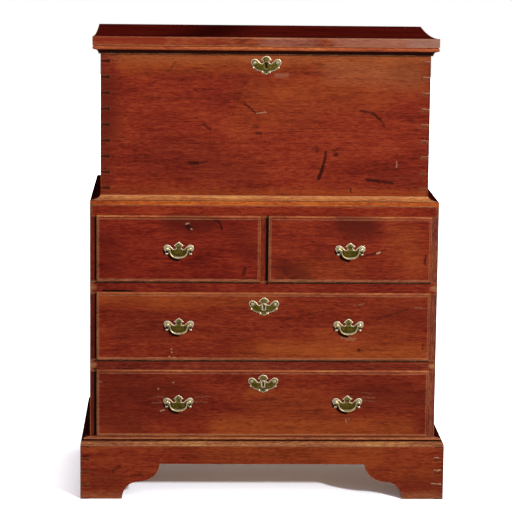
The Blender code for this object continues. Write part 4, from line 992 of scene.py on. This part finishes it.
def bail_form(centre):
    """The bail as a swept rod of changing thickness, on a smooth curve through its points."""
    path = [(x, z, share * BAIL_ROD) for x, z, share in BAIL_HALF]
    path += [(-x, z, reach) for x, z, reach in reversed(path[:-1])]
    points = []
    for k in range(len(path) - 1):
        before = path[max(k - 1, 0)]
        after = path[min(k + 2, len(path) - 1)]
        for step in range(BAIL_STEPS):
            t = step / BAIL_STEPS
            point = []
            for a, b, c, d in zip(before, path[k], path[k + 1], after):
                bend = 2 * a - 5 * b + 4 * c - d + t * (3 * (b - c) + d - a)
                point.append(b + 0.5 * t * (c - a + t * bend))
            points.append(point)
    points.append(path[-1])
    form = bmesh.new()
    swept(form, points, centre, False)
    return form


# Tints of the boards: how the light and wear of many years changed the stain, and on some faces painted
# light and shade, red, green, blue.
PLAIN = (1.0, 1.0, 1.0)
LID_TOP = (0.45, 0.30, 0.48)
LID_LINE = (1.70, 5.00, 5.60)
LID_EDGE = (1.25, 2.30, 2.05)
# Painted shade: black in the lid moulding's cove and the base moulding's groove, and dark on the mouldings'
# sides.
SHADE_BLACK = (0.10, 0.08, 0.10)
SHADED = (0.20, 0.18, 0.20)
# Lips: rubbed pale, with a painted highlight that differs by which way each side of the lip looks.
LIP_UP = (1.90, 5.00, 4.60)
LIP_LEFT = (1.60, 3.80, 3.80)
LIP_RIGHT = (1.20, 2.20, 2.00)
LIP_DOWN = (1.90, 5.20, 6.00)
PLINTH_TINT = (0.84, 0.95, 0.80)
SIDE_TINTS = {"case_left_side": (0.56, 0.56, 0.52), "case_right_side": (1.05, 2.40, 3.00)}
RAIL_TINTS = {
    "top_rail": (1.0, 0.96, 0.88),
    "upper_rail": (0.86, 0.82, 0.88),
    "lower_rail": (0.76, 0.95, 1.05),
}
DIVIDER_TINT = (0.80, 0.90, 0.90)
BACK_TINT = (0.8, 0.75, 0.7)
# The pins' end grain shows on the coffer's front: black with wax at the left, rubbed pale at the right.
PIN_TINTS = {"coffer_left_end": (0.42, 0.34, 0.34), "coffer_right_end": (1.45, 2.20, 2.30)}
FRONT_TINTS = {
    "lower_long_drawer": (0.78, 0.78, 0.72),
    "upper_long_drawer": (0.85, 0.88, 0.78),
    "left_short_drawer": (0.76, 0.58, 0.62),
    "right_short_drawer": (0.92, 0.92, 0.90),
}
# Mouldings from the top down: depth below the top edge, and tint.
LID_BANDS = ((0.0125, (1.95, 3.80, 3.10)), (0.0300, SHADE_BLACK))
# The waist's top band is worn and painted paler as highlight where light falls on it from above; the thin
# dark band under it is painted shade in the quirk.
WAIST_BANDS = (
    (0.0118, (2.55, 8.60, 7.20)),
    (0.0131, (0.35, 0.45, 0.35)),
    (0.0300, (2.00, 3.80, 1.60)),
)
# The base moulding's bead and lower faces are painted lighter against the shade they get, and its groove is
# painted black as shade.
BASE_BANDS = (
    (0.0063, (1.80, 5.20, 5.00)),
    (0.0088, SHADE_BLACK),
    (0.0125, (1.25, 3.80, 3.50)),
    (0.0300, (1.50, 5.20, 5.00)),
)
# Roundings of the worn edges, in metres, where they differ from the wood's own; the lid's only at its top.
MOULDING_ROUND = 0.0006
COFFER_ROUND = 0.0008
LID_ROUND = 0.0035
LID_ARRIS = LID_LEVEL - 0.002
FRONT_ROUND = 0.0005
LINING_ROUND = 0.0004
IRON_ROUND = 0.0005
BRASS_ROUND = 0.0003
# How far a face must look one way to count as flat, as an edge, or as tilted that way at all.
FLAT = 0.97
EDGE_ON = 0.7
TILTED = 0.2


def lid_tint(face):
    """Dark on the lid's top, pale on its upper edge, faded on the rest."""
    if face.normal.z > FLAT:
        return LID_TOP
    return LID_LINE if face.normal.z > TILTED else LID_EDGE


def dress_moulding(context, node, bands):
    """Dresses a mitred moulding: a tint for each band of its front, dull with painted shade along the sides.
    """
    low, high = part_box(node)

    def tint(face):
        if runs_along_side(face, low, high):
            return SHADED
        for depth, colour in bands:
            if face.center.z > high.z - depth:
                return colour
        return bands[-1][1]

    piece = dress_board(context, node, "mitred", tint, rounding=MOULDING_ROUND)
    piece.data.materials.append(finish_named(context, "dull_mahogany"))
    for face in piece.data.polygons:
        if runs_along_side(face, low, high):
            face.material_index = 2


def front_tint(plain):
    """Drawer fronts: plain on the face, and on the moulded lip rubbed pale with a painted highlight set by
    which way each side looks.
    """

    def tint(face):
        if face.normal.y < -FLAT or face.normal.y > TILTED or face.center.y > CASE_FACE:
            return plain
        if abs(face.normal.x) > abs(face.normal.z):
            return LIP_RIGHT if face.normal.x > 0 else LIP_LEFT
        return LIP_UP if face.normal.z > 0 else LIP_DOWN

    return tint


def edge_tint(edge):
    """Boards that show their front edge: its own tint there, plain on the rest."""

    def tint(face):
        return edge if face.normal.y < -EDGE_ON else PLAIN

    return tint


class CHEST_OT_dress_plinth(bpy.types.Operator):
    """Dress the bracket plinth and its moulding"""
    bl_idname = "chest.dress_plinth"
    bl_label = "Dress Plinth"

    def execute(self, context):
        dress_board(context, "base_front", "x", PLINTH_TINT, "waxed_mahogany_plinth")
        dress_board(context, "base_left", "y", PLAIN)
        dress_board(context, "base_right", "y", PLAIN)
        dress_moulding(context, "base_moulding", BASE_BANDS)
        return {"FINISHED"}


class CHEST_OT_dress_lower_case(bpy.types.Operator):
    """Dress the boards of the chest of drawers"""
    bl_idname = "chest.dress_lower_case"
    bl_label = "Dress Lower Case"

    def execute(self, context):
        worn = "waxed_mahogany_frame"
        for node, edge in SIDE_TINTS.items():
            dress_board(context, node, "z", edge_tint(edge), worn)
        for node, tint in RAIL_TINTS.items():
            dress_board(context, node, "x", tint, worn)
        dress_board(context, "drawer_divider", "z", DIVIDER_TINT, worn)
        dress_moulding(context, "waist_moulding", WAIST_BANDS)
        for node in ("case_top", "case_bottom", "upper_dustboard", "lower_dustboard"):
            dress_board(context, node, "x", PLAIN, "sawn_pine", "pine")
        dress_board(context, "case_back", "x", BACK_TINT, "sawn_pine", "pine")
        return {"FINISHED"}


class CHEST_OT_dress_coffer(bpy.types.Operator):
    """Dress the boards of the coffer"""
    bl_idname = "chest.dress_coffer"
    bl_label = "Dress Coffer"

    def execute(self, context):
        plain = "waxed_mahogany_coffer"
        dress_board(context, "coffer_front", "x", PLAIN, plain + "_front", rounding=COFFER_ROUND)
        for node, pins in PIN_TINTS.items():
            dress_board(context, node, "y", edge_tint(pins), plain, rounding=COFFER_ROUND)
        dress_board(context, "coffer_back", "x", PLAIN, plain, rounding=COFFER_ROUND)
        dress_board(context, "coffer_bottom", "x", PLAIN, "sawn_pine", "pine")
        return {"FINISHED"}


class CHEST_OT_dress_lid(bpy.types.Operator):
    """Dress the lid and the moulding under its edge"""
    bl_idname = "chest.dress_lid"
    bl_label = "Dress Lid"

    def execute(self, context):
        edge = "waxed_mahogany_lid_edge"
        lid = dress_board(context, "lid_board", "x", lid_tint, edge, rounding=LID_ROUND, above=LID_ARRIS)
        lid.data.materials.append(finish_named(context, "dull_mahogany_lid_top"))
        for face in lid.data.polygons:
            if face.normal.z > FLAT:
                face.material_index = 2
        dress_moulding(context, "lid_moulding", LID_BANDS)
        return {"FINISHED"}


class CHEST_OT_dress_drawers(bpy.types.Operator):
    """Dress the four drawers: lipped fronts and oak linings"""
    bl_idname = "chest.dress_drawers"
    bl_label = "Dress Drawers"

    def execute(self, context):
        for drawer in DRAWERS:
            tint = front_tint(FRONT_TINTS[drawer])
            finish = "waxed_mahogany_" + drawer
            dress_board(context, drawer + "_front", "x", tint, finish, rounding=FRONT_ROUND)
            dress_board(context, drawer + "_box", "y", PLAIN, "planed_oak", "oak")
            dress_board(context, drawer + "_bottom", "x", PLAIN, "planed_oak", "oak", rounding=LINING_ROUND)
        return {"FINISHED"}


class CHEST_OT_fit_handles(bpy.types.Operator):
    """Fit the brass handles: cut plates with turned posts, and the bails that hang in them"""
    bl_idname = "chest.fit_handles"
    bl_label = "Fit Handles"

    def execute(self, context):
        for handle in HANDLES:
            form, centre = plate_form(handle + "_plate", HANDLE_HALF, HANDLE_TURNINGS)
            cast_piece(context, handle + "_plate", form, PLATE_FINISHES)
            bail = handle + "_bail"
            low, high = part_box(bail)
            hung = Vector(((low.x + high.x) / 2, (low.y + high.y) / 2, centre.z + POST_UP))
            cast_piece(context, bail, bail_form(hung), PLATE_FINISHES[:2])
        return {"FINISHED"}


class CHEST_OT_fit_keyhole_plates(bpy.types.Operator):
    """Fit the three keyhole plates, each held by two round-headed pins"""
    bl_idname = "chest.fit_keyhole_plates"
    bl_label = "Fit Keyhole Plates"

    def execute(self, context):
        hole = key_outline()
        bead = [(x, z, KEY_BEAD) for x, z in hole]
        for node in [drawer + "_escutcheon" for drawer in LOCKED] + ["coffer_escutcheon"]:
            plain = node == "coffer_escutcheon"
            form, centre = plate_form(node, PLATE_HALF, KEY_TURNINGS, hole)
            if not plain:
                swept(form, bead, centre + FRONT * PLATE_THICK, True, BEAD_SIDES)
            mesh = cast_piece(context, node, form, PLATE_FINISHES)
            middle = centre + Vector((0, 0, KEY_UP - KEY_DROP / 2))
            # Painted shade: the keyhole's walls take the dark iron finish.
            for wall in mesh.polygons:
                inside = abs(wall.normal.y) < KEY_WALL and (wall.center - middle).length < KEY_REACH
                if inside and wall.material_index == 0:
                    wall.material_index = 2
            if plain:
                near = [1.0 if (v.co - middle).length < HUSH_REACH else 0.0 for v in mesh.vertices]
                mesh.attributes.new("hush", "FLOAT", "POINT").data.foreach_set("value", near)
        return {"FINISHED"}


class CHEST_OT_fit_locks(bpy.types.Operator):
    """Fit the iron locks, their brass bolts and the lid's lock plate"""
    bl_idname = "chest.fit_locks"
    bl_label = "Fit Locks"

    def execute(self, context):
        for node in [drawer + "_lock" for drawer in LOCKED] + ["coffer_lock"]:
            dress_metal(context, node, "forged_iron", IRON_ROUND)
        for node in [drawer + "_bolt" for drawer in LOCKED] + ["lid_lock_plate"]:
            dress_metal(context, node, "cast_brass", BRASS_ROUND)
        return {"FINISHED"}


class CHEST_OT_fit_hinges(bpy.types.Operator):
    """Fit the two butt hinges of the lid, with their slotted screws"""
    bl_idname = "chest.fit_hinges"
    bl_label = "Fit Hinges"

    def execute(self, context):
        draw = random.Random(SEED)
        brass = finish_named(context, "cast_brass")
        leaf_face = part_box("coffer_back")[1].y + SCREW_SEAT
        for hinge in HINGES:
            for leaf in ("case_leaf", "lid_leaf"):
                node = hinge + "_" + leaf
                dress_metal(context, node, "cast_brass", BRASS_ROUND)
                low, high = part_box(node)
                middle = low.z + SCREW_UP * (high.z - low.z)
                form = bmesh.new()
                for share in SCREW_ROW:
                    x = (low.x + high.x) / 2 + share * (high.x - low.x)
                    screw_head(form, Vector((x, leaf_face, middle)), draw.uniform(0, math.pi))
                name = node + "_screws"
                place_piece(name, form_to_mesh(form, name, [brass]), BODY_OF[node])
        return {"FINISHED"}


# The floor's half width and its drop below the feet, in metres.
FLOOR_HALF = 14.0
FLOOR_DROP = 0.0005
# How much brighter the camera sees the paint; a little more blue keeps the shade grey beside the red wood.
FLOOR_WHITE = (2.95, 3.10, 3.40)
# The floor lifts to plain white this far from the chest's foot, whose half width and half depth follow.
FLOOR_LIFT = 0.3
FLOOR_FOOT = (0.50, 0.27, 0.0)
# Lamps and camera, as they stood for the photograph.
LAMP_AIM = (0.0, 0.0, 0.8)
KEY_LAMP_PLACE = (3.0, -4.6, 3.4)
KEY_LAMP_ANGLE = math.radians(4.0)
SOFTBOX_PLACE = (1.7, -2.6, 2.6)
SOFTBOX_SIZE = 1.6
CAMERA_PLACE = (-0.243, -6.786, 1.817)
CAMERA_PAN = math.radians(-2.10)
CAMERA_TILT = math.radians(90 - 8.89)
CAMERA_ROLL = math.radians(0.64)
CAMERA_SHIFT = (-0.0140, -0.0600)


class CHEST_OT_set_stage(bpy.types.Operator):
    """Set the floor, the lamps, the white surround and the camera"""
    bl_idname = "chest.set_stage"
    bl_label = "Set Stage"

    def execute(self, context):
        studio = context.scene.chest_studio
        context.scene.view_settings.view_transform = "Standard"
        self.lay_floor(studio)
        self.light_surround(context, studio)
        self.hang_key(studio)
        self.hang_softbox(studio)
        self.set_camera(context, studio)
        return {"FINISHED"}

    def lay_floor(self, studio):
        """A matt painted floor: white to the camera where it is lit, grey in the chest's shadow."""
        form = bmesh.new()
        bmesh.ops.create_grid(form, x_segments=24, y_segments=24, size=FLOOR_HALF)
        mesh = bpy.data.meshes.new("studio_floor")
        form.to_mesh(mesh)
        form.free()
        made, tree = blank("matt_white_paint")
        # Only the camera sees the lit floor as pure white; the chest gets the light of the paint itself.
        seen = add(tree, "LightPath", out="Is Camera Ray")
        white = [level * more for level, more in zip(studio.floor, FLOOR_WHITE)]
        tones = {0: seen, 6: studio.floor, 7: (*white, 1.0)}
        colour = add(tree, "Mix", tones, 2, data_type="RGBA", clamp_result=False)
        paint = add(tree, "BsdfDiffuse", {"Color": colour})
        away = add(tree, "TexCoord", out="Object")
        away = add(tree, "VectorMath", {0: away}, operation="ABSOLUTE")
        away = add(tree, "VectorMath", {0: away, 1: FLOOR_FOOT}, operation="SUBTRACT")
        away = add(tree, "VectorMath", {0: away, 1: (0.0, 0.0, 0.0)}, operation="MAXIMUM")
        away = add(tree, "VectorMath", {0: away}, "Value", operation="LENGTH")
        away = add(tree, "MapRange", {0: away, 1: 0.0, 2: FLOOR_LIFT})
        lift = add(tree, "Math", {0: seen, 1: away}, operation="MULTIPLY")
        glow = add(tree, "Emission", {"Color": (1.0, 1.0, 1.0, 1.0), "Strength": lift})
        both = add(tree, "AddShader", {0: paint, 1: glow})
        add(tree, "OutputMaterial", {"Surface": both})
        mesh.materials.append(made)
        floor = bpy.data.objects.new("studio_floor", mesh)
        bpy.context.scene.collection.objects.link(floor)
        floor.location.z = -FLOOR_DROP

    def light_surround(self, context, studio):
        """White to the camera and in reflections, and a plain even light for the rest."""
        world = bpy.data.worlds.new("white_surround")
        context.scene.world = world
        world.use_nodes = True
        tree = world.node_tree
        tree.nodes.clear()
        seen = add(tree, "LightPath", out="Is Camera Ray")
        ray = seen.node
        for kind in ("Is Glossy Ray", "Is Transmission Ray"):
            seen = add(tree, "Math", {0: seen, 1: ray.outputs[kind]}, operation="MAXIMUM")
        level = add(tree, "MapRange", {0: seen, 1: 0.0, 2: 1.0, 3: studio.sky, 4: 1.0})
        back = add(tree, "Background", {"Color": (1.0, 1.0, 1.0, 1.0), "Strength": level})
        add(tree, "OutputWorld", {"Surface": back})

    def hang_key(self, studio):
        """A far lamp from the upper right, which throws the shadows of lips and handles down to the left."""
        lamp = bpy.data.lights.new("key_lamp", "SUN")
        lamp.energy = studio.key_level
        lamp.angle = KEY_LAMP_ANGLE
        self.aim_lamp(lamp, KEY_LAMP_PLACE)

    def hang_softbox(self, studio):
        """A large softbox near the lid's right end, so that the light falls off down and to the left."""
        lamp = bpy.data.lights.new("softbox", "AREA")
        lamp.size = SOFTBOX_SIZE
        lamp.energy = studio.softbox_power
        self.aim_lamp(lamp, SOFTBOX_PLACE)

    def aim_lamp(self, lamp, place):
        """Hangs a lamp at a place, aimed at the chest."""
        holder = bpy.data.objects.new(lamp.name, lamp)
        bpy.context.scene.collection.objects.link(holder)
        holder.location = place
        aim = Vector(LAMP_AIM) - Vector(place)
        holder.rotation_mode = "QUATERNION"
        holder.rotation_quaternion = aim.to_track_quat("-Z", "Y")

    def set_camera(self, context, studio):
        """A long lens a little above the lid, looking slightly down, as the photograph was taken."""
        camera = bpy.data.cameras.new("camera")
        camera.sensor_width = 36.0
        camera.lens = studio.lens
        camera.shift_x, camera.shift_y = CAMERA_SHIFT
        camera.clip_end = 100.0
        holder = bpy.data.objects.new("camera", camera)
        context.scene.collection.objects.link(holder)
        pan = Matrix.Rotation(CAMERA_PAN, 4, "Z")
        tilt = Matrix.Rotation(CAMERA_TILT, 4, "X")
        roll = Matrix.Rotation(CAMERA_ROLL, 4, "Z")
        holder.matrix_world = Matrix.Translation(CAMERA_PLACE) @ pan @ tilt @ roll
        context.scene.camera = holder


class CHEST_PT_sidebar(bpy.types.Panel):
    """Lists the steps that dress the chest"""
    bl_idname = "CHEST_PT_sidebar"
    bl_label = "Chest on Chest"
    bl_space_type = "VIEW_3D"
    bl_region_type = "UI"
    bl_category = "Chest"

    def draw(self, context):
        for group in (context.scene.chest_wood, context.scene.chest_metal, context.scene.chest_studio):
            column = self.layout.column(align=True)
            for key in group.__annotations__:
                column.prop(group, key)
        for step in STEPS:
            self.layout.operator(step.bl_idname)


STEPS = (
    CHEST_OT_set_stage,
    CHEST_OT_dress_plinth,
    CHEST_OT_dress_lower_case,
    CHEST_OT_dress_coffer,
    CHEST_OT_dress_lid,
    CHEST_OT_dress_drawers,
    CHEST_OT_fit_handles,
    CHEST_OT_fit_keyhole_plates,
    CHEST_OT_fit_locks,
    CHEST_OT_fit_hinges,
)
GROUPS = (ChestWood, ChestMetal, ChestStudio)


def register():
    for kind in GROUPS + STEPS + (CHEST_PT_sidebar,):
        bpy.utils.register_class(kind)
    bpy.types.Scene.chest_wood = PointerProperty(type=ChestWood)
    bpy.types.Scene.chest_metal = PointerProperty(type=ChestMetal)
    bpy.types.Scene.chest_studio = PointerProperty(type=ChestStudio)


def unregister():
    del bpy.types.Scene.chest_studio
    del bpy.types.Scene.chest_metal
    del bpy.types.Scene.chest_wood
    for kind in reversed(GROUPS + STEPS + (CHEST_PT_sidebar,)):
        bpy.utils.unregister_class(kind)


def main():
    register()
    bpy.ops.chest.set_stage()
    bpy.ops.chest.dress_plinth()
    bpy.ops.chest.dress_lower_case()
    bpy.ops.chest.dress_coffer()
    bpy.ops.chest.dress_lid()
    bpy.ops.chest.dress_drawers()
    bpy.ops.chest.fit_handles()
    bpy.ops.chest.fit_keyhole_plates()
    bpy.ops.chest.fit_locks()
    bpy.ops.chest.fit_hinges()
    bpy.context.view_layer.update()


if __name__ == "__main__":
    main()
